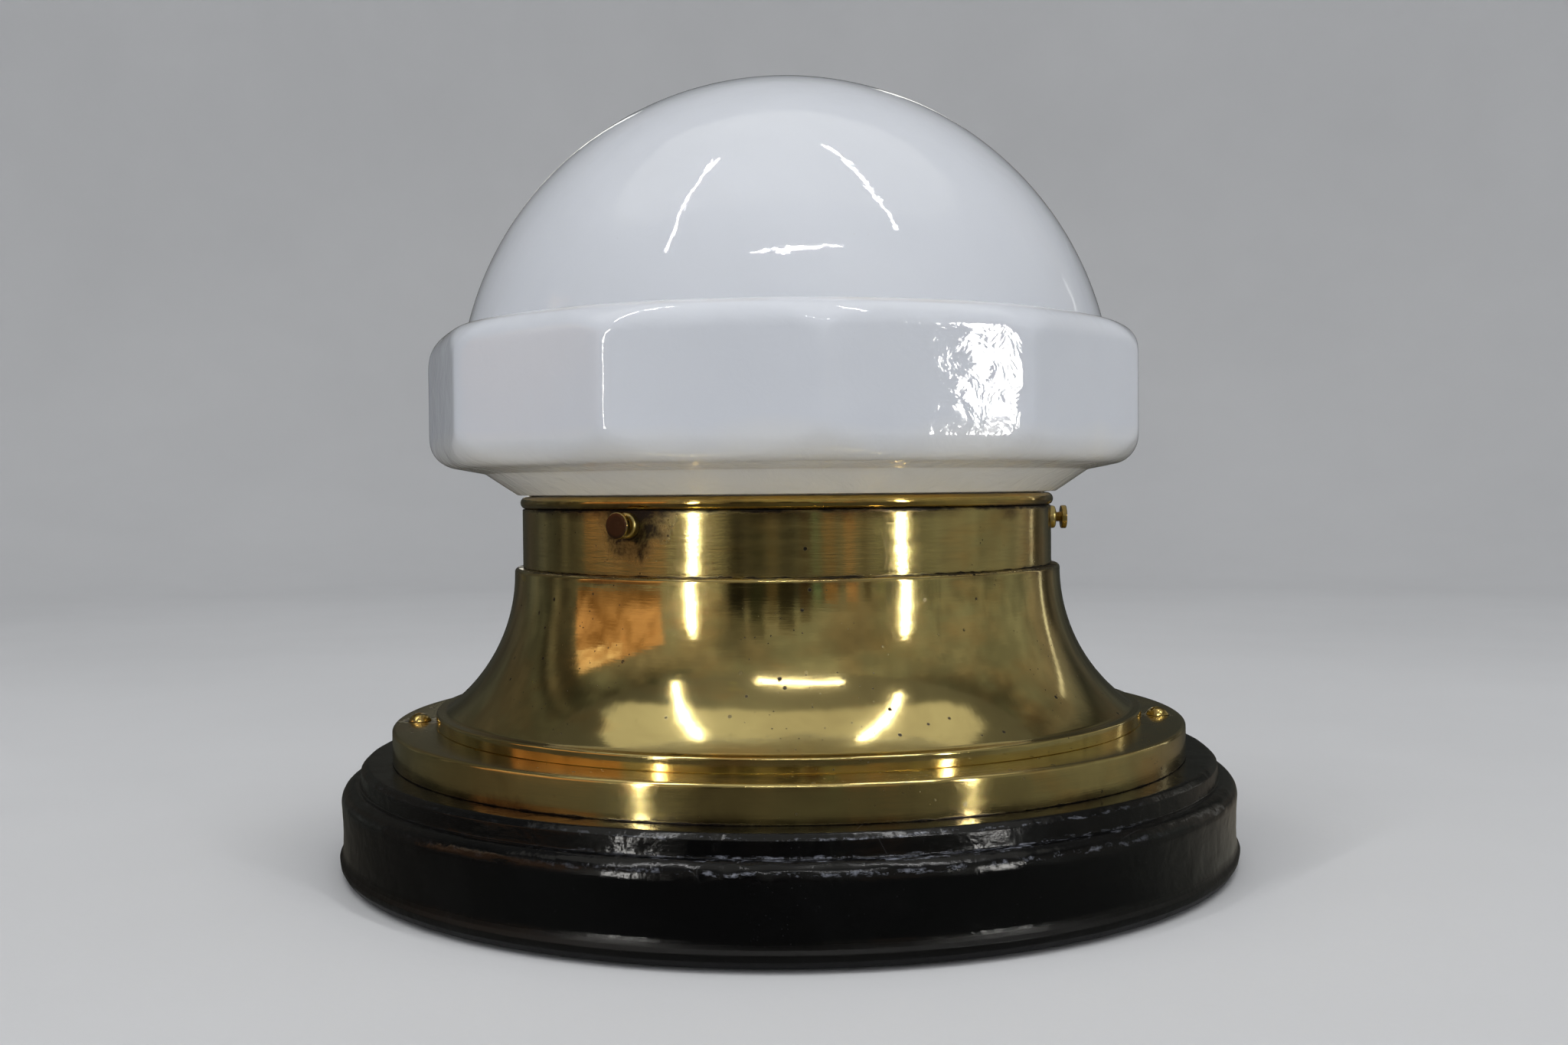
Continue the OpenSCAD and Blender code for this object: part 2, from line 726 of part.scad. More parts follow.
// Pressed steel bar across the flange that carries the lampholder
module cross_bar() {
    color(steel)
    difference() {
        intersection() {
            translate([-bar_half, -bar_w / 2, flange_top_z]) cube([2 * bar_half, bar_w, bar_t]);
            translate([0, 0, flange_top_z - over]) cylinder(r = bar_half, h = bar_t + 2 * over);
        }
        translate([0, 0, flange_top_z - over])
            cylinder(r = nipple_r + seat_play, h = bar_t + 2 * over);
        for (side = [-1, 1]) {
            translate([side * bar_screw_x, 0, flange_top_z - over])
                cylinder(r = bar_screw_r + 0.2, h = bar_t + 2 * over);
            // Spare holes that such bars have for other fittings
            translate([side * bar_hole_x, 0, flange_top_z - over])
                cylinder(r = bar_hole_r, h = bar_t + 2 * over);
        }
    }
}

module bar_screws() {
    color(steel)
    for (side = [-1, 1]) translate([side * bar_screw_x, 0, 0]) difference() {
        union() {
            translate([0, 0, bar_top_z]) cylinder(r = 1.9 * bar_screw_r, h = 2.4);
            translate([0, 0, flange_top_z - bar_screw_len])
                cylinder(r = bar_screw_r, h = bar_screw_len + bar_t + 0.5);
        }
        translate([-far / 2, -0.5, bar_top_z + 1.2]) cube([far, 1, 2]);
    }
}

module nipple() {
    color(steel)
    difference() {
        translate([0, 0, nipple_low_z]) cylinder(r = nipple_r, h = nipple_top_z - nipple_low_z);
        translate([0, 0, nipple_low_z - over])
            cylinder(r = nipple_bore_r, h = nipple_top_z - nipple_low_z + 2 * over);
    }
}

// Two thin nuts that clamp the porcelain base to the bar
module nipple_nuts() {
    color(steel)
    for (z = [flange_top_z - nut_t, floor_top_z]) translate([0, 0, z]) difference() {
        cylinder(r = nut_flats / 2 / cos(30), h = nut_t, $fn = 6);
        translate([0, 0, -over]) cylinder(r = nipple_r + 0.02, h = nut_t + 2 * over);
    }
}

module holder_base() {
    color(porcelain)
    difference() {
        rotate_extrude() difference() {
            union() {
                translate([0, bar_top_z]) square([holder_r - 2, holder_base_h]);
                translate([0, bar_top_z + 2]) square([holder_r, holder_base_h - 2]);
                translate([holder_r - 2, bar_top_z + 2]) circle(r = 2);
            }
            translate([-over, floor_top_z]) square([base_in_r - 1.5 + over, holder_base_h]);
            translate([-over, block_low_z]) square([base_in_r + over, holder_base_h]);
            translate([-over, bar_top_z - over]) square([nipple_r + seat_play + over, far]);
            translate([-3, bar_top_z - 3]) square([3, far]);
        }
    }
}

// Porcelain disc that carries the contacts and terminals
module contact_block() {
    color(porcelain)
    difference() {
        translate([0, 0, block_low_z]) cylinder(r = base_in_r - seat_play, h = block_t);
        for (side = [-1, 1]) {
            translate([side * terminal_x, 0, block_low_z - over])
                cylinder(r = 1.5 + run_play, h = 5 + over);
            translate([side * terminal_x, -8, block_low_z - over])
                cylinder(r = 1.6, h = block_t + 2 * over);
        }
    }
}

// Sprung tongue that presses on the bulb's end contact
module centre_contact() {
    color(bright_brass)
    rotate([90, 0, 0]) translate([0, 0, -2.5]) linear_extrude(5)
        polygon([
            [-9, block_top_z], [-3, block_top_z], [-1, block_top_z + 0.2],
            [2, contact_top_z - 0.5], [4.5, contact_top_z - 0.5], [4.5, contact_top_z],
            [-1.5, contact_top_z], [-3.6, block_top_z + 0.6], [-9, block_top_z + 0.6]
        ]);
}

// Threaded brass shell that takes the bulb's cap
module screw_shell() {
    color(bright_brass)
    difference() {
        union() {
            translate([0, 0, block_top_z]) cylinder(r = shell_r, h = shell_top_z - block_top_z);
        }
        translate([0, 0, block_top_z - over])
            cylinder(r = shell_in_r, h = shell_top_z - block_top_z + 2 * over);
    }
}

module terminal_screws() {
    color(bright_brass)
    for (side = [-1, 1]) translate([side * terminal_x, 0, 0]) difference() {
        union() {
            translate([0, 0, block_low_z - 2.2]) cylinder(r = 2.8, h = 2.2);
            translate([0, 0, block_low_z - 0.5]) cylinder(r = 1.5, h = 5);
        }
        translate([-4, -0.4, block_low_z - 3.2]) cube([8, 0.8, 2]);
    }
}

module holder_skirt() {
    lip = 2.5;
    color(porcelain)
    rotate_extrude() difference() {
        union() {
            translate([0, base_top_z]) square([skirt_r, skirt_h - lip]);
            translate([0, base_top_z]) square([skirt_r - lip, skirt_h]);
            translate([skirt_r - lip, skirt_top_z - lip]) circle(r = lip);
        }
        translate([-3, base_top_z - over]) square([skirt_in_r + 3, skirt_h + 2 * over]);
    }
}

// Two way terminal block screwed to the recess's ceiling
module terminal_block() {
    color(porcelain)
    translate([0, terminal_y, terminal_low_z]) difference() {
        translate([-terminal_l / 2, -terminal_w / 2, 0]) cube([terminal_l, terminal_w, terminal_h]);
        for (side = [-1, 1]) {
            translate([side * terminal_l / 4, -terminal_w, terminal_h / 2]) rotate([-90, 0, 0])
                cylinder(r = lead_d / 2 + 0.4, h = 2 * terminal_w);
            for (y = [-1, 1])
                translate([side * terminal_l / 4, y * terminal_w / 4, -over])
                cylinder(r = 1.8, h = terminal_h / 2 + over);
        }
        translate([0, 0, -over]) cylinder(r = 1.5 + 0.2, h = terminal_h + 2 * over);
        translate([0, 0, -over]) cylinder(r = 3.1, h = 3 + over);
    }
}

module block_screw() {
    color(steel)
    translate([0, terminal_y, terminal_low_z]) difference() {
        union() {
            translate([0, 0, 0.8]) cylinder(r = 2.9, h = 2.2);
            translate([0, 0, 2]) cylinder(r = 1.5, h = terminal_h + 4);
        }
        translate([-4, -0.4, -0.2]) cube([8, 0.8, 2]);
    }
}

// Route of one lead, from the terminal block through the nipple to its terminal.
// The points are for the side at +X.
lead_start_y = terminal_y - terminal_w / 2 + 3;
lead_z = terminal_low_z + terminal_h / 2;
function lead_route(side) = [
    [side * terminal_l / 4, lead_start_y, lead_z],
    [side * terminal_l / 4, lead_start_y - 6, lead_z],
    [side * 5, 14, lead_z + 2],
    [side * 2, 4, lead_z + 12],
    [side * 1.7, 0, nipple_low_z - 4],
    [side * 1.7, 0, nipple_low_z + 6],
    [side * 1.7, 0, nipple_top_z - 2],
    [side * 3, -1.5, nipple_top_z + 3],
    [side * 9, -5, block_low_z - 4.4],
    [side * terminal_x, -5.2, block_low_z - 1.6]
];

function spline_point(a, b, c, d, t) =
    0.5 * ((2 * b) + (c - a) * t + (2 * a - 5 * b + 4 * c - d) * t * t
    + (3 * b - a - 3 * c + d) * t * t * t);
function smooth_route(p, steps) = [
    for (i = [0 : len(p) - 2], s = [0 : steps - 1])
        spline_point(p[max(i - 1, 0)], p[i], p[i + 1], p[min(i + 2, len(p) - 1)], s / steps),
    p[len(p) - 1]
];
function unit(v) = v / norm(v);
function heading(p, i) = unit(p[min(i + 1, len(p) - 1)] - p[max(i - 1, 0)]);

// Tube swept along a route, with its ring turned to stay square to the path
module swept_tube(route, r, sides) {
    count = len(route);
    up = [1, 0, 0];
    rings = [
        for (i = [0 : count - 1])
            let (h = heading(route, i), u = unit(cross(h, up)), v = cross(h, u))
            for (k = [0 : sides - 1])
                route[i] + r * (cos(360 * k / sides) * u + sin(360 * k / sides) * v)
    ];
    walls = [
        for (i = [0 : count - 2], k = [0 : sides - 1])
            let (a = i * sides + k, b = i * sides + (k + 1) % sides)
            each [[a, a + sides, b + sides], [a, b + sides, b]]
    ];
    first = [for (k = [0 : sides - 1]) k];
    last = [for (k = [sides - 1 : -1 : 0]) (count - 1) * sides + k];
    polyhedron(points = rings, faces = concat(walls, [first], [last]));
}

module lead_live() {
    color([0.45, 0.16, 0.1]) swept_tube(smooth_route(lead_route(1), 4), lead_d / 2, 8);
}

module lead_neutral() {
    color([0.12, 0.12, 0.13]) swept_tube(smooth_route(lead_route(-1), 4), lead_d / 2, 8);
}

// Section of the bulb's glass, grown inward by the wall
module bulb_section(inward) {
    shoulder_z = bulb_c_z - bulb_r * sin(35);
    rise = shoulder_z - cap_top_z - 0.5;
    translate([0, bulb_c_z]) circle(r = bulb_r - inward);
    polygon([
        [0, cap_top_z - 3], [bulb_neck_r - inward, cap_top_z - 3],
        [bulb_neck_r - inward, cap_top_z + 0.5],
        [bulb_neck_r + 0.8 - inward, cap_top_z + 0.5 + 0.16 * rise],
        [bulb_neck_r + 4.5 - inward, cap_top_z + 0.5 + 0.51 * rise],
        [bulb_r * cos(35) - inward, shoulder_z], [0, bulb_c_z]
    ]);
}

module bulb_glass() {
    color([0.85, 0.88, 0.9, 0.35])
    rotate_extrude() intersection() {
        difference() {
            bulb_section(0);
            bulb_section(bulb_wall);
        }
        translate([0, 0]) square([bulb_r + over, far]);
    }
}

// Brass cap with rolled thread crests, crimped on the glass
module bulb_cap() {
    pitch = 3.62;
    rings = floor((cap_len - 6) / pitch);
    color(bright_brass)
    rotate_extrude() difference() {
        union() {
            translate([0, cap_low_z]) square([cap_r - 0.9, cap_len]);
            for (k = [0 : rings - 1])
                translate([cap_r - 1.3, cap_low_z + 2.6 + k * pitch]) circle(r = 1.3);
        }
        translate([-over, cap_low_z + 1.2]) square([bulb_neck_r + seat_play + over, cap_len]);
        translate([-over, cap_low_z - over]) square([6 + over, 4]);
    }
}

module bulb_insulator() {
    color([0.08, 0.07, 0.08])
    rotate_extrude() polygon([
        [0, bulb_low_z + 0.8], [5.2, bulb_low_z + 0.8], [cap_r - 1.6, cap_low_z],
        [6 - seat_play, cap_low_z], [6 - seat_play, cap_low_z + 1.6], [0, cap_low_z + 1.6]
    ]);
}

module bulb_contact() {
    color([0.72, 0.72, 0.7])
    translate([0, 0, bulb_low_z]) cylinder(r1 = 3.6, r2 = 4.6, h = 0.8);
}

// Glass stem, flared to the neck's end, with the two wires sealed in its pinch
module bulb_stem() {
    color([0.85, 0.88, 0.9, 0.35])
    difference() {
        rotate_extrude() polygon([
            [0, cap_top_z - 4], [bulb_neck_r, cap_top_z - 4], [bulb_neck_r, cap_top_z - 3],
            [bulb_neck_r - bulb_wall - seat_play, cap_top_z - 3], [4.5, cap_top_z + 3],
            [3.2, stem_top_z - 6], [1.6, stem_top_z - 3], [1.3, stem_top_z], [0, stem_top_z]
        ]);
        filament_wires(wire_r + seat_play / 2);
    }
}

// The filament's two wires, from its ends down into the stem
module filament_wires(r) {
    fall = arc_z - stem_top_z + 4;
    for (side = [-1, 1])
        translate([side * arc_r, 0, arc_z]) rotate([0, side * (atan2(arc_r - 1, fall) - 180), 0])
        cylinder(r = r, h = norm([arc_r - 1, fall]), $fn = 24);
}

// Coiled filament on its two wires, as an arc of round wire
module filament() {
    color([0.4, 0.38, 0.36]) {
        translate([0, 0, arc_z]) rotate([0, 0, 180]) rotate_extrude(angle = 180)
            translate([arc_r, 0]) circle(r = wire_r + seat_play, $fn = 24);
        filament_wires(wire_r);
    }
}

plinth();
felt_pad();
cable_bush();
base_flange();
flange_screws();
body_screws();
flared_body();
collar();
gallery_cup();
seat_ring();
screw_bosses();
cross_bar();
bar_screws();
nipple();
nipple_nuts();
holder_base();
contact_block();
centre_contact();
screw_shell();
terminal_screws();
holder_skirt();
terminal_block();
block_screw();
lead_live();
lead_neutral();
shade();
thumbscrew_1();
thumbscrew_2();
thumbscrew_3();
screw_tip_1();
screw_tip_2();
screw_tip_3();
bulb_glass();
bulb_cap();
bulb_insulator();
bulb_contact();
bulb_stem();
filament();
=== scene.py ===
"""Table lamp: opal glass globe in a brass gallery, flared brass body, painted plinth.

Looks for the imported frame. Lengths of the pieces are in millimetres, and every mesh is
written in metres in the frame's own axes. The stage, lights and camera are in metres.
"""

import math

import bmesh
import bpy
import numpy as np
from mathutils import Matrix, Vector, noise


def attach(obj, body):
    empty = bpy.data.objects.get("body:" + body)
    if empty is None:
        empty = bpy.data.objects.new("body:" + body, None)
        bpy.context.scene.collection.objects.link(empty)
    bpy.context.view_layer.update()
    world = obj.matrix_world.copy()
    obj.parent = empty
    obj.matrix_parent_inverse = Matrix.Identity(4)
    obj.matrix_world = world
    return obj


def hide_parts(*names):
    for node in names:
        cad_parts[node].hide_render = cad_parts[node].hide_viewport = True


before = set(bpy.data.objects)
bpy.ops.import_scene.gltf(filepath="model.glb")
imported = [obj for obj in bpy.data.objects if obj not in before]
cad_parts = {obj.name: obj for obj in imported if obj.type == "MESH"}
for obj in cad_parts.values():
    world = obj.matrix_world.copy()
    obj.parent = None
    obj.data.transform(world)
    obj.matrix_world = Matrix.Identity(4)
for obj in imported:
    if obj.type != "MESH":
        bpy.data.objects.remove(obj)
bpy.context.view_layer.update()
MM = 0.001

# Heights and radii of the pieces, in millimetres
FELT_TOP = 1
FELT_LIMIT = 160.75
PLINTH_LIMIT = 166.72
PLINTH_TOP = 37.5
RECESS_R = 62
RECESS_TOP = 23
INLET_Z = 13
INLET_OUT = 163.4
FLANGE_BORE = 112
FLANGE_R = 148
FLANGE_TOP = 49.5
FOOT_R = 132.35
FOOT_TOP = 54.4
FLARE_MIDDLE = (165.62, 105)
FLARE_R = 62.52
BODY_SHEET = 1.8
BODY_TOP = 106.5
COLLAR_BORE = 98.5
COLLAR_R = 100
COLLAR_TOP = 128.2
BEAD_MIDDLE = (98.35, 130.55)
BEAD_R = 2.33
THUMB_Z = 123.4
THUMB_R = 4.4
DOME_Z = 165.7
DOME_R = 122.7
DOME_GLASS = 4
BAND_R = 134.8
BAND_TOP = 193.5
NECK_BORE = 90
NECK_LOW = 110.1

# Azimuths in degrees from the front, towards the right
THUMB_ANGLES = (-31.5, 88.5, 208.5)
FLANGE_SCREW_ANGLES = (-83, 83)
FLANGE_SCREW_OUT = 138.8


# Mesh helpers


def add_object(name, data):
    obj = bpy.data.objects.new(name, data)
    bpy.context.scene.collection.objects.link(obj)
    return obj


def smooth(mesh, sharp=180):
    """Smooth shading, except at edges of more than that many degrees."""
    for poly in mesh.polygons:
        poly.use_smooth = True
    mesh.set_sharp_from_angle(angle=math.radians(sharp))


def new_object(name, verts, faces, sharp=35):
    """A mesh object from points in millimetres, smooth except at sharp edges."""
    mesh = bpy.data.meshes.new(name)
    mesh.from_pydata([tuple(c * MM for c in v) for v in verts], [], faces)
    mesh.validate()
    work = bmesh.new()
    work.from_mesh(mesh)
    bmesh.ops.remove_doubles(work, verts=work.verts, dist=1e-6)
    bmesh.ops.recalc_face_normals(work, faces=work.faces)
    work.to_mesh(mesh)
    work.free()
    smooth(mesh, sharp)
    return add_object(name, mesh)


def finish_piece(obj, body, material, node):
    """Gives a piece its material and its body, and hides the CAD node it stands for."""
    obj.data.materials.clear()
    obj.data.materials.append(material)
    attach(obj, body)
    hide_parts(node)


def rounded(points, step=12):
    """A polyline of (r, z) or (r, z, fillet) with its corners rounded by arcs."""
    places = [Vector(item[:2]) for item in points]
    out = []
    for i, item in enumerate(points):
        if len(item) == 3:
            out += corner_arc(*places[i - 1:i + 2], item[2], step)
        else:
            out.append(tuple(places[i]))
    return out


def corner_arc(before, corner, after, radius, step):
    """Points of the arc that rounds one corner."""
    a = (before - corner).normalized()
    b = (after - corner).normalized()
    half = a.angle(b) / 2
    if half < 1e-3 or half > math.pi / 2 - 1e-3:
        return [(corner.x, corner.y)]
    reach = min(radius / math.tan(half), 0.49 * (before - corner).length, 0.49 * (after - corner).length)
    radius = reach * math.tan(half)
    centre = corner + (a + b).normalized() * (radius / math.sin(half))
    start = corner + a * reach - centre
    end = corner + b * reach - centre
    turn = start.angle_signed(end)
    count = max(2, int(abs(math.degrees(turn)) / step) + 1)
    points = []
    for k in range(count + 1):
        v = start.copy()
        v.rotate(Matrix.Rotation(-turn * k / count, 2))
        points.append((centre.x + v.x, centre.y + v.y))
    return points


def arc(cx, cz, radius, start, end, count):
    """Points of an arc, angles in degrees."""
    angles = np.radians(np.linspace(start, end, count))
    return [(cx + radius * math.cos(a), cz + radius * math.sin(a)) for a in angles]


def refine(points, longest):
    """Splits the long stretches of a profile, for shading and fine displacement."""
    out = [points[0]]
    for a, b in zip(points, points[1:]):
        parts = max(1, math.ceil(math.dist(a, b) / longest))
        for k in range(1, parts + 1):
            t = k / parts
            out.append((a[0] + (b[0] - a[0]) * t, a[1] + (b[1] - a[1]) * t))
    return out


def ring_points(profile, count):
    """The points of a profile of (r, z), turned round the axis."""
    angles = [2 * math.pi * k / count for k in range(count)]
    return [(r * math.cos(a), r * math.sin(a), z) for r, z in profile for a in angles]


def ring_faces(rows, count, closed=False):
    """Faces between rows of points that go round, and from the last row to the first if closed."""
    faces = []
    for i in range(rows if closed else rows - 1):
        j = (i + 1) % rows
        for k in range(count):
            m = (k + 1) % count
            faces.append((i * count + k, i * count + m, j * count + m, j * count + k))
    return faces


def turned(name, profile, count, closed=True, shape=None, sharp=35):
    """A turned form. profile is a ring of (r, z), or runs from axis to axis if it isn't closed."""
    verts = ring_points(profile, count)
    if shape:
        verts = [shape(p) for p in verts]
    return new_object(name, verts, ring_faces(len(profile), count, closed), sharp)


def moved(obj, matrix):
    """Applies a matrix to a mesh, with its translation in metres."""
    obj.data.transform(matrix)
    obj.data.update()
    return obj


def joined(name, parts):
    """One object from several meshes."""
    work = bmesh.new()
    for part in parts:
        work.from_mesh(part.data)
    mesh = bpy.data.meshes.new(name)
    work.to_mesh(mesh)
    work.free()
    for part in parts:
        bpy.data.objects.remove(part)
    return add_object(name, mesh)


def apply_modifiers(obj, sharp):
    """Keeps what an object's modifiers make of it as a plain mesh."""
    graph = bpy.context.evaluated_depsgraph_get()
    mesh = bpy.data.meshes.new_from_object(obj.evaluated_get(graph))
    obj.modifiers.clear()
    obj.data = mesh
    smooth(mesh, sharp)


def cut(obj, cutters, sharp):
    """Cuts one mesh by others."""
    for cutter in cutters:
        mod = obj.modifiers.new("cut", "BOOLEAN")
        mod.operation = "DIFFERENCE"
        mod.solver = "EXACT"
        mod.object = cutter
    apply_modifiers(obj, sharp)
    for cutter in cutters:
        bpy.data.objects.remove(cutter)


def soften(obj, width):
    """Breaks a small piece's sharp edges with a narrow bevel."""
    mod = obj.modifiers.new("bevel", "BEVEL")
    mod.width = width * MM
    mod.segments = 2
    mod.limit_method = "ANGLE"
    mod.angle_limit = math.radians(35)
    apply_modifiers(obj, 50)


def plain_box(name, size, height):
    """A box of that size in millimetres, centred over the origin at that height."""
    sx, sy, sz = (s / 2 for s in size)
    verts = [(x, y, height + z) for x in (-sx, sx) for y in (-sy, sy) for z in (-sz, sz)]
    faces = [(0, 1, 3, 2), (4, 6, 7, 5), (0, 4, 5, 1), (2, 3, 7, 6), (0, 2, 6, 4), (1, 5, 7, 3)]
    return new_object(name, verts, faces)


def directions(angle):
    """Unit vectors outward and sideways at an azimuth from the front."""
    a = math.radians(angle - 90)
    return Vector((math.cos(a), math.sin(a), 0)), Vector((-math.sin(a), math.cos(a), 0))


def point_round(angle, radius, height):
    """The point at that azimuth, radius and height."""
    a = math.radians(angle - 90)
    return (radius * math.cos(a), radius * math.sin(a), height)


def radial_frame(angle, height):
    """Turns +Z outward along that azimuth, at a height in millimetres."""
    out, side = directions(angle)
    m = Matrix((side, Vector((0, 0, 1)), out)).transposed().to_4x4()
    m.translation = Vector((0, 0, height * MM))
    return m


def upright_frame(angle, radius, height):
    """Stands a piece upright at that azimuth, radius and height in millimetres."""
    m = Matrix.Rotation(math.radians(angle - 90), 4, "Z")
    m.translation = Vector(point_round(angle, radius, height)) * MM
    return m


def inlet_frame(out):
    """Turns +Z to the back at the cable inlet, that far out in millimetres."""
    return Matrix.Translation((0, out * MM, INLET_Z * MM)) @ Matrix.Rotation(-math.pi / 2, 4, "X")


# Material helpers


class Shader:
    """A node material around one Principled shader. Lengths are in metres."""

    def __init__(self, name):
        self.material = bpy.data.materials.new(name)
        self.material.use_nodes = True
        self.tree = self.material.node_tree
        self.tree.nodes.clear()
        self.out = self.node("ShaderNodeOutputMaterial")
        self.bsdf = self.node("ShaderNodeBsdfPrincipled")
        self.link(self.bsdf.outputs["BSDF"], self.out.inputs["Surface"])
        self.coords = self.node("ShaderNodeTexCoord").outputs["Object"]

    def put(self, socket, value):
        if isinstance(value, bpy.types.NodeSocket):
            self.link(value, socket)
        else:
            socket.default_value = (*value, 1) if socket.type == "RGBA" else value

    def link(self, a, b):
        self.tree.links.new(a, b)

    def node(self, kind, inputs=None, **props):
        """A new node: first its properties, then its inputs by name or number."""
        n = self.tree.nodes.new(kind)
        for key, value in props.items():
            setattr(n, key, value)
        for key, value in (inputs or {}).items():
            self.put(n.inputs[key], value)
        return n

    def surface(self, colour, rough, normal=None, **values):
        """Fills in the Principled shader, and gives the material."""
        values.update(Base_Color=colour, Roughness=rough)
        if normal:
            values["Normal"] = normal
        for key, value in values.items():
            self.put(self.bsdf.inputs[key.replace("_", " ")], value)
        return self.material

    def glow(self, colour, strength=1):
        """An emission in the Principled shader's place."""
        n = self.node("ShaderNodeEmission", {"Color": colour, "Strength": strength})
        self.link(n.outputs[0], self.out.inputs["Surface"])
        return self.material

    def math(self, op, a, b=0, clamp=False):
        return self.node("ShaderNodeMath", {0: a, 1: b}, operation=op, use_clamp=clamp).outputs[0]

    def times(self, a, b, clamp=False):
        return self.math("MULTIPLY", a, b, clamp)

    def plus(self, a, b):
        return self.math("ADD", a, b)

    def larger(self, a, b):
        return self.math("MAXIMUM", a, b)

    def noise(self, scale, detail=3, rough=0.5, at=None, warp=0):
        inputs = dict(Vector=at or self.coords, Scale=scale, Detail=detail, Roughness=rough, Distortion=warp)
        return self.node("ShaderNodeTexNoise", inputs).outputs["Fac"]

    def cells(self, scale, at=None, feature="F1"):
        inputs = {"Vector": at or self.coords, "Scale": scale}
        return self.node("ShaderNodeTexVoronoi", inputs, feature=feature).outputs["Distance"]

    def remap(self, value, low, high, to_low=0, to_high=1):
        inputs = dict(enumerate((value, low, high, to_low, to_high)))
        return self.node("ShaderNodeMapRange", inputs, clamp=True).outputs[0]

    def mix(self, fac, a, b, blend="MIX"):
        inputs = {0: fac, 6: a, 7: b}
        return self.node("ShaderNodeMix", inputs, data_type="RGBA", blend_type=blend).outputs[2]

    def bump(self, height, distance, strength=1, normal=None):
        inputs = {"Height": height, "Distance": distance, "Strength": strength}
        if normal:
            inputs["Normal"] = normal
        return self.node("ShaderNodeBump", inputs).outputs["Normal"]

    def xyz(self):
        return self.node("ShaderNodeSeparateXYZ", {0: self.coords}).outputs

    def height(self):
        return self.xyz()[2]

    def vector(self, op, b):
        return self.node("ShaderNodeVectorMath", {0: self.coords, 1: b}, operation=op).outputs

    def distance(self, spot):
        return self.vector("DISTANCE", spot)["Value"]

    def stretched(self, *scale):
        return self.vector("MULTIPLY", scale)[0]

    def radius(self, x, y):
        return self.math("SQRT", self.plus(self.times(x, x), self.times(y, y)))

    def turn(self):
        """0 to 1 round the lamp's axis, from the back past the left, the front and the right."""
        x, y, _ = self.xyz()
        return self.remap(self.math("ARCTAN2", x, self.times(y, -1)), -math.pi, math.pi)

    def turned_coords(self, around, along):
        """Coordinates that run long round the lamp's axis and short along its profile."""
        x, y, z = self.xyz()
        r = self.radius(x, y)
        safe = self.larger(r, 0.001)
        side, front = (self.times(self.math("DIVIDE", way, safe), around) for way in (x, y))
        depth = self.times(self.plus(self.times(z, 0.8), r), along)
        return self.node("ShaderNodeCombineXYZ", {0: side, 1: front, 2: depth}).outputs[0]

    def band(self, value, middle, half):
        """1 on a line at middle, fading to 0 at half away from it."""
        away = self.math("ABSOLUTE", self.math("SUBTRACT", value, middle))
        return self.remap(away, 0, half, 1, 0)

    def ragged(self, value, field, by):
        """A value moved up and down by a noise, by that much at most."""
        return self.plus(value, self.remap(field, 0.3, 0.7, -by, by))

    def patches(self, scale, a, b, low=0.35, detail=3):
        """Two colours in soft patches."""
        return self.mix(self.remap(self.noise(scale, detail), low, 0.7), a, b)

    def specks(self, scale, core, edge, field, low, high):
        """Specks that fade from core to edge of their cells, where a noise is high."""
        dots = self.remap(self.cells(scale), core, edge, 1, 0)
        return self.times(dots, self.remap(field, low, high))


# Materials

AGED = (0.71, 0.58, 0.245)
AGED_DARK = (0.49, 0.38, 0.155)


def brass_tone(s, tone, dark, brushing, lines):
    """The metal's own colour: clouds, warm patches, yellow lacquer, runs and brush lines."""
    cloud = s.noise(18, 4, 0.6, warp=0.6)
    colour = s.mix(s.remap(cloud, 0.42, 0.68, 0, 0.8), tone, dark)
    warm = s.noise(31, 3, 0.55, at=s.stretched(1, 1, 2.2))
    warm_tone = (tone[0] * 1.08, tone[1] * 0.74, tone[2] * 0.5)
    colour = s.mix(s.remap(warm, 0.55, 0.78, 0, 0.5), colour, warm_tone)
    lacquer = s.noise(21, 3, 0.6, at=s.stretched(1, 1, 2.6))
    colour = s.mix(s.remap(lacquer, 0.69, 0.73, 0, 0.6), colour, (0.92, 0.74, 0.16))
    runs = s.noise(1, 3, 0.6, at=s.stretched(150, 150, 16))
    colour = s.mix(s.remap(runs, 0.62, 0.74, 0, 0.35), colour, dark)
    return s.mix(s.times(s.remap(lines, 0.45, 0.75), 0.3 * brushing), colour, dark)


def brass_pits(s, amount):
    """Small and larger dark specks, in patches."""
    small = s.specks(330, 0.06, 0.1, s.noise(20, 2), 0.5, 0.56)
    large = s.specks(120, 0.065, 0.1, s.noise(11), 0.44, 0.48)
    return s.times(s.larger(small, large), amount, clamp=True)


def brass_smear(s, seam):
    """Patches smeared brown on both sides of a seam."""
    level = s.ragged(s.height(), s.noise(55, 5, 0.7), 0.002)
    patches = s.remap(s.noise(28, 2), 0.42, 0.58, 0, 0.85)
    return s.times(s.band(level, seam, 0.0036), patches)


def brass_dirt_and_seam_shade(s, seams, stains):
    """Dirt and painted shade in the seams where parts meet, and tarnish about the stained spots."""
    level = s.ragged(s.height(), s.noise(260, 4, 0.7), 0.0003)
    dirt_and_shade = 0
    for seam, half in seams:
        dirt_and_shade = s.larger(dirt_and_shade, s.band(level, seam * MM, half * MM))
    dirt_and_shade = s.times(dirt_and_shade, s.remap(s.noise(70, 3, 0.6), 0.38, 0.6, 0.5, 1.9), clamp=True)
    for spot, reach in stains:
        near = s.ragged(s.distance(spot), s.noise(90, 5, 0.7, warp=0.3), 0.45 * reach)
        dirt_and_shade = s.larger(dirt_and_shade, s.remap(near, 0.45 * reach, reach, 1, 0))
    return dirt_and_shade


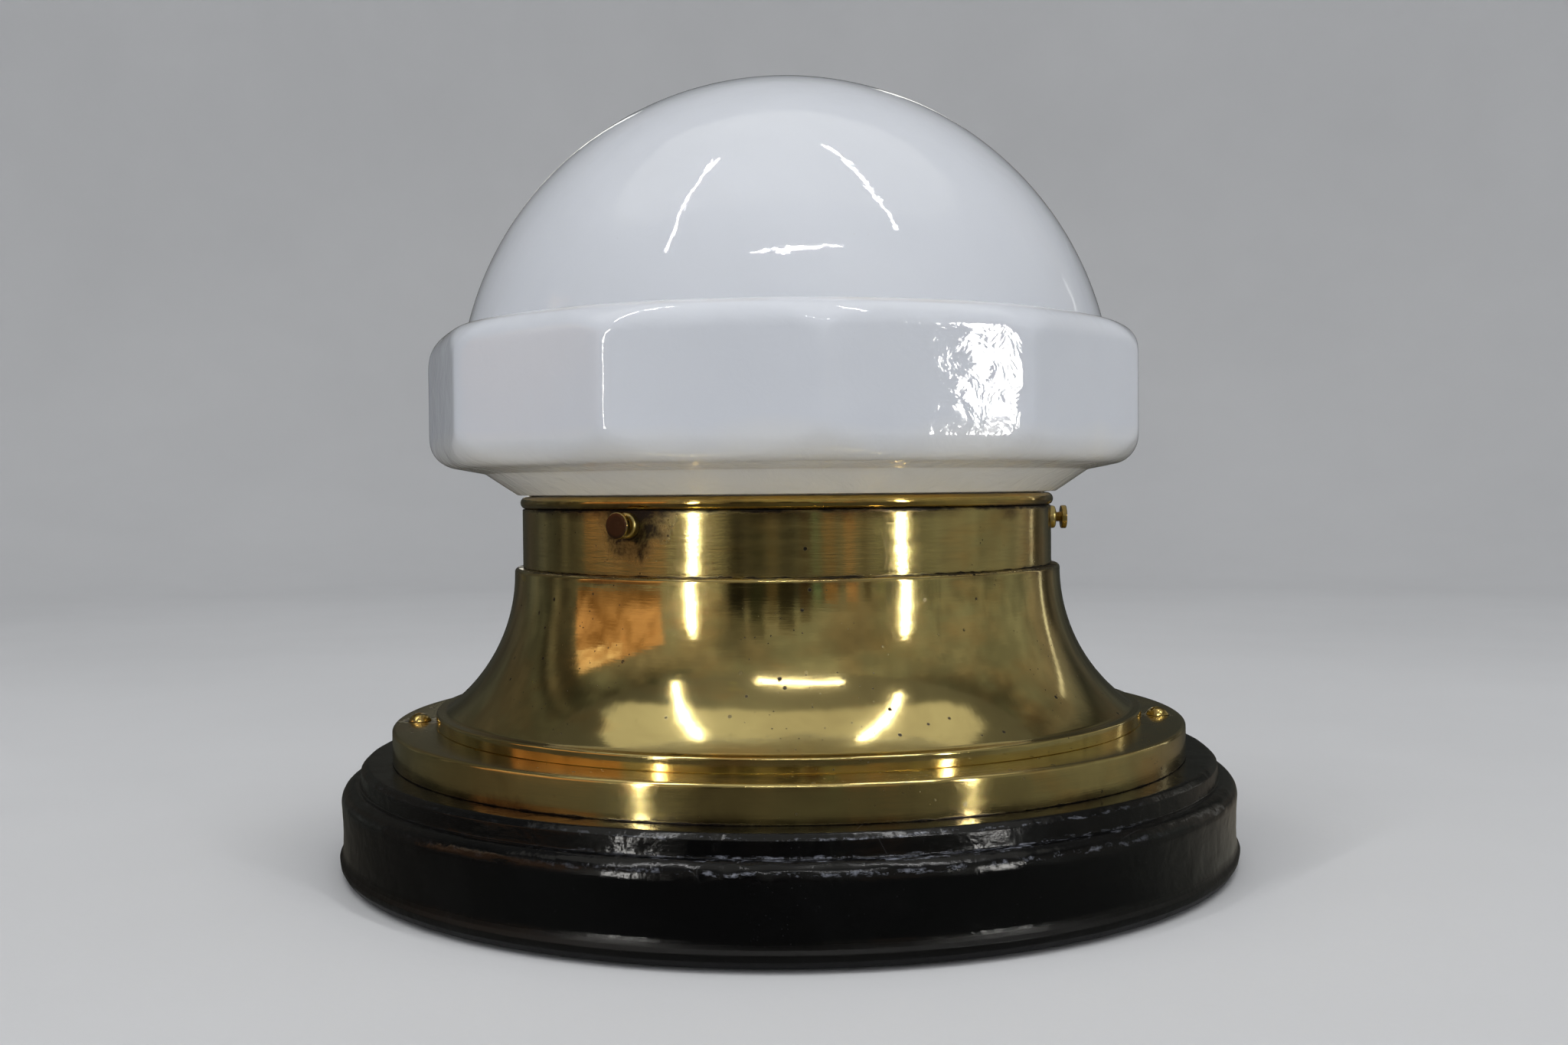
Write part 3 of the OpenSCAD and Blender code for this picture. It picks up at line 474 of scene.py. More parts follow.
def brass(name, rough, brushing, pits=1, seams=(), anisotropy=0, stains=(), tone=AGED, dark=AGED_DARK):
    """Aged brass, with seams darkened by dirt and painted shade in millimetres, and stains in metres."""
    s = Shader(name)
    lines = s.noise(1, 2, 0.6, at=s.turned_coords(9, 1500))
    strokes = s.noise(1, 3, 0.65, at=s.turned_coords(3, 420))
    scratches = s.noise(1, 1, at=s.turned_coords(60, 2300))
    colour = brass_tone(s, tone, dark, brushing, lines)
    if seams:
        colour = s.mix(brass_smear(s, seams[0][0] * MM), colour, (0.19, 0.115, 0.055))
    crust_and_shade = s.larger(brass_pits(s, pits), brass_dirt_and_seam_shade(s, seams, stains))
    # Pits, tarnish, and seams darkened by dirt and painted shade
    colour = s.mix(s.times(crust_and_shade, 0.93), colour, (0.036, 0.033, 0.04))
    worn = s.remap(s.noise(60, 4, 0.6), 0.3, 0.75, rough * 0.85, rough * 1.25)
    worn = s.plus(worn, s.times(s.remap(strokes, 0.4, 0.8), 0.08 * brushing))
    worn = s.plus(worn, s.times(crust_and_shade, 0.4))
    normal = s.bump(s.noise(24, 2), 0.0006, 0.1)
    normal = s.bump(strokes, 0.0001, 0.6 * brushing, normal)
    normal = s.bump(lines, 0.00005, 0.9 * brushing, normal)
    normal = s.bump(scratches, 0.00002, 0.9 * brushing, normal)
    brushed = {}
    if anisotropy:
        tangent = s.node("ShaderNodeTangent", direction_type="RADIAL", axis="Z").outputs[0]
        brushed = {"Anisotropic": anisotropy, "Anisotropic_Rotation": 0.25, "Tangent": tangent}
    return s.surface(colour, worn, normal, Metallic=1, **brushed)


# The plinth's edges with painted highlights as (height, half width) in millimetres, and the brightest spot
# in metres
HIGHLIGHT_EDGES = ((36, 0.4), (30.9, 0.5), (27.7, 0.8))
BRIGHTEST_HIGHLIGHT = (0.025, -0.16, 0.03)


def painted_edge_highlights(s, z):
    """Painted highlights: pale dashes along the plinth's edges, nearly all of them at the front."""
    level = s.ragged(z, s.noise(120, 4, 0.65), 0.0006)
    edges = 0
    for edge, half in HIGHLIGHT_EDGES:
        edges = s.larger(edges, s.band(level, edge * MM, half * MM))
    dashes = s.remap(s.noise(1, 5, 0.75, at=s.turned_coords(30, 1300)), 0.5, 0.64)
    highlight_dashes = s.times(s.times(edges, 1.5, clamp=True), dashes)
    return s.times(highlight_dashes, s.remap(s.distance(BRIGHTEST_HIGHLIGHT), 0.045, 0.1, 1, 0.04))


def black_paint():
    """Thick glossy black paint: brush lumps, dust, hairlines and painted highlights on the edges."""
    s = Shader("painted_wood")
    z = s.height()
    haze = s.remap(s.noise(14, 5, 0.65, warp=1), 0.5, 0.8)
    colour = s.mix(s.times(haze, 0.6), (0.0016, 0.0016, 0.0019), (0.0055, 0.0055, 0.006))
    # Painted highlights: pale dashes along the edges
    colour = s.mix(painted_edge_highlights(s, z), colour, (0.19, 0.2, 0.235))
    hair = s.cells(38, at=s.stretched(1, 1, 0.35), feature="DISTANCE_TO_EDGE")
    hair = s.times(s.remap(hair, 0, 0.006, 1, 0), s.remap(s.noise(25, 2), 0.6, 0.68))
    colour = s.mix(s.times(hair, 0.6), colour, (0.035, 0.035, 0.037))
    dust = s.specks(620, 0.05, 0.1, s.noise(40, 2), 0.52, 0.66)
    colour = s.mix(s.times(dust, 0.5), colour, (0.07, 0.07, 0.075))
    rough = s.plus(s.remap(haze, 0, 1, 0.14, 0.3), s.times(s.larger(dust, hair), 0.2))
    dull_foot = s.remap(z, 0.006, 0.009, 0.35, 0)
    normal = s.bump(s.noise(95, warp=0.4), 0.0011, 0.4)
    strokes = s.noise(1, 4, 0.65, at=s.turned_coords(26, 700))
    normal = s.bump(strokes, 0.0003, 0.35, normal)
    normal = s.bump(s.noise(420, 2), 0.00015, 0.35, normal)
    return s.surface(colour, s.plus(rough, dull_foot), normal, Specular_IOR_Level=0.28)


# Heights on the glass in metres, the brownish creases with their half width
TINTED_CREASES = ((0.1925, 0.0012), (0.1415, 0.0018))
# The cone under the band, with a painted warm reflection of the brass, and the neck where that fades
BRASS_REFLECTION_CONE = (0.132, 0.156)
SHADED_NECK = (0.1305, 0.1335)
BAND_FOOT = (0.143, 0.152)
BAND_HEAD = (0.19, 0.2)


def opal_glass():
    """Opal glass: cool milky white with a wet gloss, casting ripples, and a painted warm reflection of the
    brass on its low parts.
    """
    s = Shader("opal_glass")
    z = s.height()
    milk = s.noise(12, 3, 0.55, warp=0.5)
    colour = s.mix(s.remap(milk, 0.35, 0.7), (0.7, 0.725, 0.775), (0.66, 0.685, 0.735))
    upper, lower = TINTED_CREASES
    # A brownish tint along the two creases
    crease_tint = s.larger(s.band(z, *upper), s.band(z, *lower))
    crease_tint = s.times(crease_tint, s.remap(s.noise(45, 3, 0.6), 0.35, 0.7, 0.1, 0.55))
    colour = s.mix(crease_tint, colour, (0.52, 0.47, 0.39))
    # Painted reflection: the brass's warm glow tinted into the cone under the band
    warm = s.remap(s.ragged(z, s.noise(30, 2), 0.002), *BRASS_REFLECTION_CONE, 0.85, 0)
    warm = s.times(warm, s.remap(z, *SHADED_NECK, 0.25, 1))
    colour = s.mix(warm, colour, (0.86, 0.81, 0.68))
    seeds = s.specks(240, 0.03, 0.06, s.noise(35), 0.58, 0.64)
    colour = s.mix(s.times(seeds, 0.35), colour, (0.5, 0.47, 0.42))
    rough = s.remap(s.noise(22, 4, 0.6), 0.3, 0.8, 0.018, 0.045)
    normal = s.bump(s.noise(26, 2, warp=0.3), 0.0009, 0.45)
    ripple = s.noise(105, 3, 0.55, warp=0.8)
    ripple = s.times(ripple, s.remap(z, *BAND_FOOT, 3.2, 1))
    ripple = s.times(ripple, s.remap(z, *BAND_HEAD, 1, 0.5))
    normal = s.bump(ripple, 0.00014, 0.9, normal)
    depth = {"Subsurface_Weight": 0.12, "Subsurface_Radius": (0.006, 0.006, 0.0065), "Subsurface_Scale": 1}
    return s.surface(colour, rough, normal, IOR=1.52, **depth)


def felt():
    """Green felt: short matted fibres."""
    s = Shader("felt")
    fibres = s.noise(1500, 6, 0.8, warp=1.5)
    fluff = s.noise(260, 4, 0.7, warp=0.8)
    colour = s.mix(s.remap(fibres, 0.35, 0.7), (0.018, 0.04, 0.026), (0.052, 0.092, 0.062))
    colour = s.mix(s.remap(fluff, 0.55, 0.75, 0, 0.4), colour, (0.1, 0.12, 0.1))
    normal = s.bump(fluff, 0.0005, 0.5)
    normal = s.bump(fibres, 0.0003, 0.8, normal)
    return s.surface(colour, 0.95, normal, Sheen_Weight=0.4, Sheen_Roughness=0.5)


def porcelain():
    """Glazed off-white porcelain with faint iron specks."""
    s = Shader("porcelain")
    colour = s.patches(40, (0.72, 0.69, 0.62), (0.78, 0.76, 0.7), 0.3)
    specks = s.specks(420, 0.04, 0.08, s.noise(60), 0.55, 0.62)
    colour = s.mix(s.times(specks, 0.6), colour, (0.3, 0.22, 0.15))
    rough = s.remap(s.noise(90), 0.3, 0.7, 0.12, 0.22)
    return s.surface(colour, rough, s.bump(s.noise(140, 2), 0.0004, 0.12))


def steel():
    """Zinc plated steel, slightly dulled, with drawing marks."""
    s = Shader("zinc_steel")
    colour = s.patches(70, (0.52, 0.53, 0.54), (0.4, 0.4, 0.39), detail=4)
    rust = s.remap(s.noise(190, 4, 0.7), 0.66, 0.76)
    colour = s.mix(s.times(rust, 0.5), colour, (0.22, 0.13, 0.07))
    marks = s.noise(60, 4, 0.6, at=s.stretched(1, 30, 6))
    rough = s.remap(marks, 0.3, 0.7, 0.3, 0.48)
    return s.surface(colour, rough, s.bump(marks, 0.0001, 0.4), Metallic=1)


def cork():
    """Cork: light granules with dark gaps."""
    s = Shader("cork")
    grain = s.cells(420)
    gap = s.remap(s.cells(420, feature="DISTANCE_TO_EDGE"), 0, 0.1, 1, 0)
    colour = s.mix(s.remap(grain, 0.1, 0.6), (0.42, 0.27, 0.15), (0.3, 0.18, 0.09))
    colour = s.mix(s.times(gap, 0.7), colour, (0.1, 0.055, 0.03))
    return s.surface(colour, 0.85, s.bump(s.math("SUBTRACT", 1, gap), 0.0003, 0.6))


def fibre():
    """Red-brown vulcanised fibre."""
    s = Shader("fibre")
    colour = s.patches(900, (0.16, 0.06, 0.035), (0.24, 0.1, 0.06))
    return s.surface(colour, 0.6, s.bump(s.noise(1400), 0.0001, 0.5))


def insulation(name, colour_a, colour_b):
    """Rubbery wire insulation."""
    s = Shader(name)
    colour = s.patches(300, colour_a, colour_b)
    return s.surface(colour, 0.5, s.bump(s.noise(900), 0.0001, 0.4))


def clear_glass():
    """Thin clear glass of the bulb."""
    s = Shader("clear_glass")
    normal = s.bump(s.noise(60, 2), 0.0003, 0.08)
    rough = s.remap(s.noise(40), 0.3, 0.7, 0, 0.03)
    return s.surface((0.93, 0.95, 0.96), rough, normal, IOR=1.45, Transmission_Weight=1)


def black_glass():
    """Black glass insulator of the bulb's cap."""
    s = Shader("black_glass")
    colour = s.patches(200, (0.012, 0.01, 0.014), (0.03, 0.026, 0.034), 0.4)
    return s.surface(colour, 0.12, s.bump(s.noise(300), 0.0002, 0.3))


def solder():
    """Soft solder of the bulb's end contact."""
    s = Shader("solder")
    colour = s.patches(500, (0.5, 0.5, 0.49), (0.36, 0.36, 0.35), 0.4)
    return s.surface(colour, 0.38, s.bump(s.noise(700), 0.0003, 0.5), Metallic=1)


def tungsten():
    """Dull drawn wire."""
    s = Shader("tungsten")
    colour = s.patches(800, (0.2, 0.19, 0.18), (0.3, 0.29, 0.28), 0.4)
    return s.surface(colour, 0.45, Metallic=1)


# Pieces

# Runs of paint: azimuth, height, width and length in millimetres, and how far out
PAINT_RUNS = (
    (-9, 29, 2.6, 1.5, 0.55), (-6.2, 26.8, 3.4, 1.8, 0.7), (-3.9, 28.6, 1.8, 1.6, 0.8),
    (-2.6, 25.4, 1.3, 2.6, 0.6), (0.2, 28.8, 5, 1, 0.35), (9.5, 29.4, 4, 1, 0.3),
    (24, 28, 3, 1.6, 0.4), (-31, 28.5, 4, 1.4, 0.4), (-52, 27.5, 3, 2, 0.45),
    (61, 27.5, 3.5, 1.8, 0.4), (118, 28, 4, 1.6, 0.45), (-140, 28, 4, 1.6, 0.45),
)


def plinth_point(p):
    """Uneven wood under thick paint, with a few runs and drips at the front."""
    x, y, z = p
    r = math.hypot(x, y)
    if r < 140:
        return p
    where = Vector((x, y, z * 1.6))
    swell = noise.noise(where * 0.022) * 0.12
    lump = noise.noise(where * 0.11 + Vector((7, 3, 1))) * 0.13
    out = swell + lump
    turn = math.degrees(math.atan2(x, -y))
    for at, height, wide, tall, size in PAINT_RUNS:
        across = math.radians(turn - at) * 160 / wide
        along = (z - height) / tall
        out += size * math.exp(-across * across - along * along)
    grow = min(1 + out / r, max(PLINTH_LIMIT / r, 1))
    fall = min(0, out - 0.05) * 0.5 if z > 36 and r > 149 else 0
    return (x * grow, y * grow, z + fall)


# The cable's way through the plinth: radius, how far out it starts and the points round it
CABLE_WAY = ((4.2, 55, 48), (5.95, 149.3, 48), (8.6, INLET_OUT, 64))


def build_plinth(material):
    """Plinth with a bead, a waist, a rounded shoulder, a top ring and the wiring recess."""
    outer = rounded([
        (RECESS_R, FELT_TOP), (164.9, FELT_TOP, 0.5), (166.25, 3.2, 0.6), (166.6, 5.3, 0.5),
        (165.75, 6.5, 0.5), (165.3, 9, 2), (165.2, 14, 4), (165.3, 19, 3), (165.7, 25),
    ])
    shoulder = arc(159.9, 25, 5.8, 2, 84, 14)
    ring = rounded([
        shoulder[-1], (159.35, 30.7, 0.35), (158.75, 35.6, 0.5), (156.7, PLINTH_TOP, 1.9),
        (146, PLINTH_TOP),
    ], 14)
    recess = [(22, PLINTH_TOP), (22, RECESS_TOP), (RECESS_R, RECESS_TOP), (RECESS_R, FELT_TOP)]
    profile = recess + refine(outer[1:] + shoulder + ring[1:], 0.9)
    obj = turned("plinth_turned", profile, 720, shape=plinth_point, sharp=50)
    cutters = []
    for radius, start, count in CABLE_WAY:
        bore = turned("bore", [(0, start), (radius, start), (radius, 180), (0, 180)], count, closed=False)
        cutters.append(moved(bore, inlet_frame(0)))
    cut(obj, cutters, 50)
    finish_piece(obj, "stand", material, "plinth")


def felt_point(p):
    """Ragged edge of the felt."""
    x, y, z = p
    r = math.hypot(x, y)
    if r < 158:
        return p
    ruffle = noise.noise(Vector(p) * 0.35) * 0.35 + noise.noise(Vector(p) * 1.3) * 0.15
    grow = min((r + ruffle) / r, FELT_LIMIT / r)
    return (x * grow, y * grow, z)


def build_felt(material):
    under = [(0, 0), (60, 0), (120, 0), (159.9, 0), (160.5, 0.3)]
    top = [(160.5, 0.75), (159.9, FELT_TOP), (60, FELT_TOP), (0, FELT_TOP)]
    obj = turned("felt_disc", under + top, 720, closed=False, shape=felt_point)
    finish_piece(obj, "stand", material, "felt_pad")


def build_bush(material):
    profile = rounded([
        (3.6, -7), (3.6, -14, 0.3), (5.9, -14, 0.4), (5.9, 0), (8.45, 0, 0.2), (8.45, 2.1, 0.9),
        (6.4, 2.15, 0.3), (3.6, 1.6, 0.9), (3.6, -7),
    ])
    obj = moved(turned("inlet_bush", profile[:-1], 96), inlet_frame(INLET_OUT))
    finish_piece(obj, "stand", material, "cable_bush")


def spun_point(p):
    """Faint dents and waves of spun sheet, too small to leave the solid's form."""
    x, y, z = p
    r = math.hypot(x, y)
    wave = noise.noise(Vector(p) * 0.016) * 0.1 + noise.noise(Vector(p) * 0.05) * 0.03
    grow = (r - 0.08 + wave) / r
    return (x * grow, y * grow, z)


def build_flange(material):
    profile = rounded([
        (FLANGE_BORE, 43), (FLANGE_BORE, PLINTH_TOP, 0.4), (FLANGE_R, PLINTH_TOP, 0.35),
        (FLANGE_R - 0.05, FLANGE_TOP, 1.25), (133.6, FLANGE_TOP), (FLANGE_BORE, FLANGE_TOP, 0.4),
        (FLANGE_BORE, 43),
    ])
    obj = turned("flange_ring", refine(profile, 2.5)[:-1], 512, shape=spun_point)
    finish_piece(obj, "stand", material, "base_flange")


def slotted_head():
    """Round slotted head with a stub of its shank, on the origin."""
    dome = arc(0, -1.74, 4.62, 90, 25, 14)
    profile = dome + [(4.24, 0.12), (4.12, 0), (2.2, 0), (2.2, -8), (0, -8)]
    head = turned("screw_head", profile, 96, closed=False)
    slot = plain_box("slot", (12, 1.1, 2.4), 2.8)
    cut(head, [moved(slot, Matrix.Rotation(math.radians(35), 4, "Z"))], 30)
    return head


def build_flange_screws(material):
    places = [upright_frame(angle, FLANGE_SCREW_OUT, FLANGE_TOP) for angle in FLANGE_SCREW_ANGLES]
    obj = joined("flange_screw_heads", [moved(slotted_head(), place) for place in places])
    soften(obj, 0.12)
    finish_piece(obj, "stand", material, "flange_screws")


def build_body(material):
    """Spun body: stepped foot, hollow flare, rounded upper edge, and the sheet's inside."""
    foot = rounded([
        (122.7, FLANGE_TOP + 1), (122.7, FLANGE_TOP, 0.2), (FOOT_R, FLANGE_TOP, 0.3),
        (FOOT_R, FOOT_TOP, 0.8), (129.3, FOOT_TOP + 0.02),
    ])
    flare = arc(*FLARE_MIDDLE, FLARE_R, 233.6, 181, 60)
    edge_z = FLARE_MIDDLE[1]
    edge = arc(101.6, edge_z, BODY_TOP - edge_z, 0, 90, 8)
    brow = [(101, BODY_TOP), (93, BODY_TOP), (86.2, BODY_TOP)]
    brow += [(86, BODY_TOP - 0.2), (86, BODY_TOP - 1.6), (86.2, BODY_TOP - BODY_SHEET)]
    inner = arc(*FLARE_MIDDLE, FLARE_R + BODY_SHEET, 180.3, 228.1, 30)
    profile = foot[1:] + flare + edge + refine(brow, 4)[1:] + inner
    obj = turned("body_spun", refine(profile, 2), 512, shape=spun_point)
    finish_piece(obj, "stand", material, "flared_body")


def build_collar(material):
    profile = rounded([
        (COLLAR_BORE, 117), (COLLAR_BORE, BODY_TOP, 0.2), (COLLAR_R, BODY_TOP, 0.3),
        (COLLAR_R, COLLAR_TOP, 0.45), (COLLAR_BORE, COLLAR_TOP, 0.3), (COLLAR_BORE, 117),
    ])
    obj = turned("collar_ring", refine(profile, 1.5)[:-1], 512, shape=spun_point)
    finish_piece(obj, "stand", material, "collar")


def build_cup(material):
    """The gallery's cup, whose rolled edge is the bead over the collar."""
    bead = arc(*BEAD_MIDDLE, BEAD_R, -85, 240, 34)
    wall = [(97.2, 120), (97.2, 108.4), (96.4, 107.7), (90, 107.7), (84.2, 107.7), (84, 107.5)]
    under = [(84, 106.7), (84.2, BODY_TOP), (97.8, BODY_TOP), (98.4, 107.1), (98.4, 120)]
    obj = turned("cup_and_bead", bead + refine(wall, 3) + refine(under, 3), 512)
    finish_piece(obj, "stand", material, "gallery_cup")


def build_bosses(material):
    profile = rounded([
        (2.02, 101), (2.02, 98.6), (4.3, 98.6), (4.3, 102.5, 1), (2.02, 102.5, 0.35), (2.02, 101),
    ])
    bosses = [moved(turned("boss", profile[:-1], 64), radial_frame(a, THUMB_Z)) for a in THUMB_ANGLES]
    obj = joined("thumb_bosses", bosses)
    finish_piece(obj, "stand", material, "screw_bosses")


def threaded_rod(name, low, high, crest, depth, pitch):
    """A rod whose surface rises and falls along a right-handed helix."""
    count = 40
    rows = int((high - low) / pitch * 14)
    verts = []
    for i in range(rows + 1):
        h = low + (high - low) * i / rows
        for k in range(count):
            a = 2 * math.pi * k / count
            phase = (h / pitch - k / count) % 1
            rise = min(1, abs(phase - 0.5) * 2.6)
            r = crest - depth * (1 - rise)
            verts.append((r * math.cos(a), r * math.sin(a), h))
    ends = [tuple(range(count)), tuple(reversed(range(rows * count, (rows + 1) * count)))]
    return new_object(name, verts, ends + ring_faces(rows + 1, count), 60)


def build_thumbscrew(number, angle, bright, dark_face):
    """Round head on a threaded shank; the face is darker and browner than the rim."""
    head = turned("head", rounded([
        (0, 104.6), (2.6, 104.6, 0.2), (THUMB_R, 104.6, 0.35), (THUMB_R, 106.55, 0.38), (3.3, 106.6, 0.3),
        (0, 106.52),
    ]), 96, closed=False)
    shank = threaded_rod("shank", 96.8, 104.8, 1.94, 0.34, 0.7)
    obj = joined("thumb_%d_screw" % number, [head, shank])
    moved(obj, radial_frame(angle, THUMB_Z))
    finish_piece(obj, "thumb_%d" % number, bright, "thumbscrew_%d" % number)
    obj.data.materials.append(dark_face)
    out, _ = directions(angle)
    face = max(v.co.dot(out) for v in obj.data.vertices) - 0.0002
    for poly in obj.data.polygons:
        if poly.normal.dot(out) > 0.9 and poly.center.dot(out) > face:
            poly.material_index = 1


# The shade

# Flats: the first ridge's azimuth, the columns to a flat, their distance from the axis, and each
# rounding of theirs as (height, radius, 1 upward or -1 downward)
RIDGE_AT = 4.9
FLAT_STEPS = 48
FLAT_R = 130.35
FLAT_ROUNDINGS = ((183.7, 10.5, 1), (151.9, 9.5, -1))

# The band as turned: its shoulder's radius, the rounding under it, and the slope that meets that at a point
SHOULDER_ROUND = 13.7
UNDER_ROUND = 12.9
UNDER_Z = 156
SLOPE = math.radians(10.63)
SLOPE_START = (124.27, 143.32)

# A point inside of the band that its rays leave from, and the blends of ridges and of edges
BAND_HEART = (105, 168)
BAND_ROWS = 110
RIDGE_BLEND = 0.7
EDGE_BLEND = 0.9


def soft_max(a, b, k):
    """The larger of two distances, blended where they are close."""
    h = np.clip(k - np.abs(a - b), 0, None) / k
    return np.maximum(a, b) + h * h * k / 4


def turned_distance(r, z):
    """How far a point is outside the turned section of the band."""
    shoulder_r = BAND_R - SHOULDER_ROUND
    shoulder_z = BAND_TOP - SHOULDER_ROUND
    under_r = BAND_R - UNDER_ROUND
    shoulder = np.hypot(r - shoulder_r, z - shoulder_z) - SHOULDER_ROUND
    under = np.hypot(r - under_r, z - UNDER_Z) - UNDER_ROUND
    slope = (r - SLOPE_START[0]) * math.sin(SLOPE) - (z - SLOPE_START[1]) * math.cos(SLOPE)
    d = np.maximum(np.maximum(r - BAND_R, z - BAND_TOP), slope)
    d = np.where((r > shoulder_r) & (z > shoulder_z), shoulder, d)
    round_part = (z < UNDER_Z) & (r - under_r > (UNDER_Z - z) * math.tan(SLOPE))
    return np.where(round_part, under, d)


def flat_distance(x, z):
    """How far a point is outside one flat with its own roundings."""
    d = x - FLAT_R
    for level, radius, up in FLAT_ROUNDINGS:
        middle = FLAT_R - radius
        beyond = ((z - level) * up > 0) & (x > middle)
        d = np.where(beyond, np.hypot(x - middle, z - level) - radius, d)
    return d


def band_rows(around):
    """Points (r, z) of the band for every ray angle and azimuth, out from inside it."""
    heart_r, heart_z = BAND_HEART
    rays = np.radians(np.linspace(-71.2, 59.6, BAND_ROWS))[:, None]
    psi = np.radians(around)[None, :]
    near = np.full((BAND_ROWS, len(around)), 6.0)
    far = np.full((BAND_ROWS, len(around)), 45.0)
    for _ in range(34):
        mid = (near + far) / 2
        r = heart_r + mid * np.cos(rays)
        z = heart_z + mid * np.sin(rays)
        own = flat_distance(r * np.cos(psi), z)
        neighbour = flat_distance(r * np.cos(math.pi / 6 - np.abs(psi)), z)
        d = soft_max(soft_max(own, neighbour, RIDGE_BLEND), turned_distance(r, z), EDGE_BLEND)
        near = np.where(d < 0, mid, near)
        far = np.where(d < 0, far, mid)
    return heart_r + near * np.cos(rays), heart_z + near * np.sin(rays)


def shade_columns():
    """Azimuths in degrees, crowded at the ridges, with each one's angle from its flat."""
    t = np.linspace(-1, 1, FLAT_STEPS, endpoint=False)
    offsets = 15 * (0.25 * t + 0.75 * np.sin(math.pi / 2 * t))
    middles = RIDGE_AT + 15 + 30 * np.arange(12)
    return np.add.outer(middles, offsets).ravel(), np.tile(offsets, 12)


def shade_outer_low():
    """Profile from the neck's end up to the crease under the band."""
    return refine(rounded([
        (NECK_BORE, 112), (90.2, NECK_LOW, 0.4), (95.55, NECK_LOW, 1), (95.55, 117.3, 1),
        (94, 118.2, 0.8), (94, 129.2, 2), (95.4, 132.3, 1.5), (98.4, 133.3, 1.2),
        (101.65, 133.35, 1.6), (113.3, 141.2, 0.9), (115, 141.62),
    ], 8), 1.6)


def shade_outer_top():
    """Profile from the ledge over the band, across the crease and up the dome."""
    dome = arc(0, DOME_Z, DOME_R, 13.55, 89.4, 90)
    return rounded([(120.1, 193.48), (119.52, BAND_TOP, 0.55), (119.35, 194.3)], 10)[:-1] + dome


def shade_inner():
    """Inner profile from the top down to the neck."""
    dome = arc(0, DOME_Z, DOME_R - DOME_GLASS, 89.4, 12, 60)
    lower = rounded([
        (117, 189.5), (126.35, 189.4, 9.6), (126.35, 147.2, 9.6), (116.5, 147.1), (111.3, 145.3, 1.5),
        (99.5, 137.3, 2), (94, 137.3, 2), (NECK_BORE, 134.3, 1.5), (NECK_BORE, 112.6),
    ], 10)
    return dome + refine(lower, 4)


def build_shade(material):
    """The globe: outer and inner skin, joined at the neck's end."""
    azimuths, around = shade_columns()
    count = len(azimuths)
    rows = shade_outer_low()[:-1] + list(zip(*band_rows(around))) + shade_outer_top()
    split = len(rows)
    rows += shade_inner()
    turn = np.radians(azimuths - 90)
    verts = []
    for r, z in rows:
        verts += np.stack((r * np.cos(turn), r * np.sin(turn), z * np.ones(count)), axis=1).tolist()
    faces = ring_faces(len(rows), count, closed=True)
    del faces[(split - 1) * count:split * count]
    faces.append(tuple((split - 1) * count + k for k in range(count)))
    faces.append(tuple(split * count + k for k in reversed(range(count))))
    obj = new_object("opal_globe", verts, faces, 60)
    finish_piece(obj, "shade", material, "shade")


# Stage, lights and camera, in metres

FLOOR_R = 1.6
SWEEP_R = 0.9
WALL_TOP = 2.3
ROUND = 96
SURROUND_R = 1.45
TUBE_Z = 3.72
UPRIGHT_OUT = 1.35
WINDOW_OUT = 1.34
CLUTTER_OUT = 1.36
BACK_OUT = 1.38


def stage_mesh(name, verts, faces, material):
    mesh = bpy.data.meshes.new(name)
    mesh.from_pydata(verts, [], faces)
    mesh.update()
    smooth(mesh)
    mesh.materials.append(material)
    obj = add_object(name, mesh)
    return obj


def pale_floor_material():
    s = Shader("pale_floor")
    colour = s.mix(s.remap(s.noise(2, 4, 0.6), 0.3, 0.7), (0.6, 0.605, 0.615), (0.64, 0.645, 0.655))
    normal = s.bump(s.noise(300), 0.0004, 0.2)
    return s.surface(colour, 0.8, normal, Specular_IOR_Level=0)


def build_stage():
    """A round floor that sweeps up into a low wall, all pale, just under the felt."""
    profile = [(0, 0), (0.3, 0), (0.8, 0)] + arc(FLOOR_R, SWEEP_R, SWEEP_R, -90, 0, 13)
    profile.append((FLOOR_R + SWEEP_R, WALL_TOP))
    verts = ring_points([(r, z - 0.0002) for r, z in profile], ROUND)
    stage_mesh("sweep", verts, ring_faces(len(profile), ROUND), pale_floor_material())


def glossy_only(obj):
    """A studio card that only reflections see."""
    for ray in ("camera", "diffuse", "shadow", "transmission", "volume_scatter"):
        setattr(obj, "visible_" + ray, False)


# Greys of the surround in percent by azimuth in degrees: along the floor's far edge, on the floor,
# on the walls, at their top, and on the ceiling far out
HORIZON_GREYS = (
    (-180, 3), (-146, 4), (-122, 10), (-108, 4), (-104, 12), (-99, 5), (-92, 8), (-50, 30), (-42, 34),
    (-30, 38), (-25, 18), (-22, 3.5), (-4, 3), (5, 3.5), (12, 7), (16, 12), (22, 20), (30, 16),
    (44, 20), (54, 18), (118, 20), (127, 6), (131, 3.5), (137, 11), (150, 4), (180, 3),
)
FLOOR_GREYS = (
    (-180, 3), (-122, 4.5), (-75, 7), (-55, 8.5), (-30, 8.5), (-22, 7), (22, 8), (50, 11), (72, 19),
    (105, 19), (128, 6), (180, 3),
)
WALL_GREYS = (
    (-180, 4), (-146, 6), (-122, 9), (-113, 8), (-109, 2), (-105, 15), (-101, 5), (-94, 6), (-90, 20),
    (-60, 22), (-30, 25), (-25, 16), (-20, 12), (-15, 22), (-4, 26), (4, 26), (18, 24), (28, 23),
    (44, 24), (90, 23), (128, 22), (136, 3), (144, 8), (155, 5), (180, 4),
)
RIM_GREYS = (
    (-180, 10), (-115, 10), (-100, 6), (-58, 5), (-40, 18), (-22, 31), (-10, 35), (14, 34), (30, 31),
    (44, 24), (58, 12), (100, 8), (130, 10), (180, 10),
)
CEILING_GREYS = (
    (-180, 10), (-110, 9), (-75, 10), (-54, 9), (-36, 22), (-20, 24), (15, 25), (32, 23), (46, 19),
    (60, 15), (110, 12), (180, 10),
)


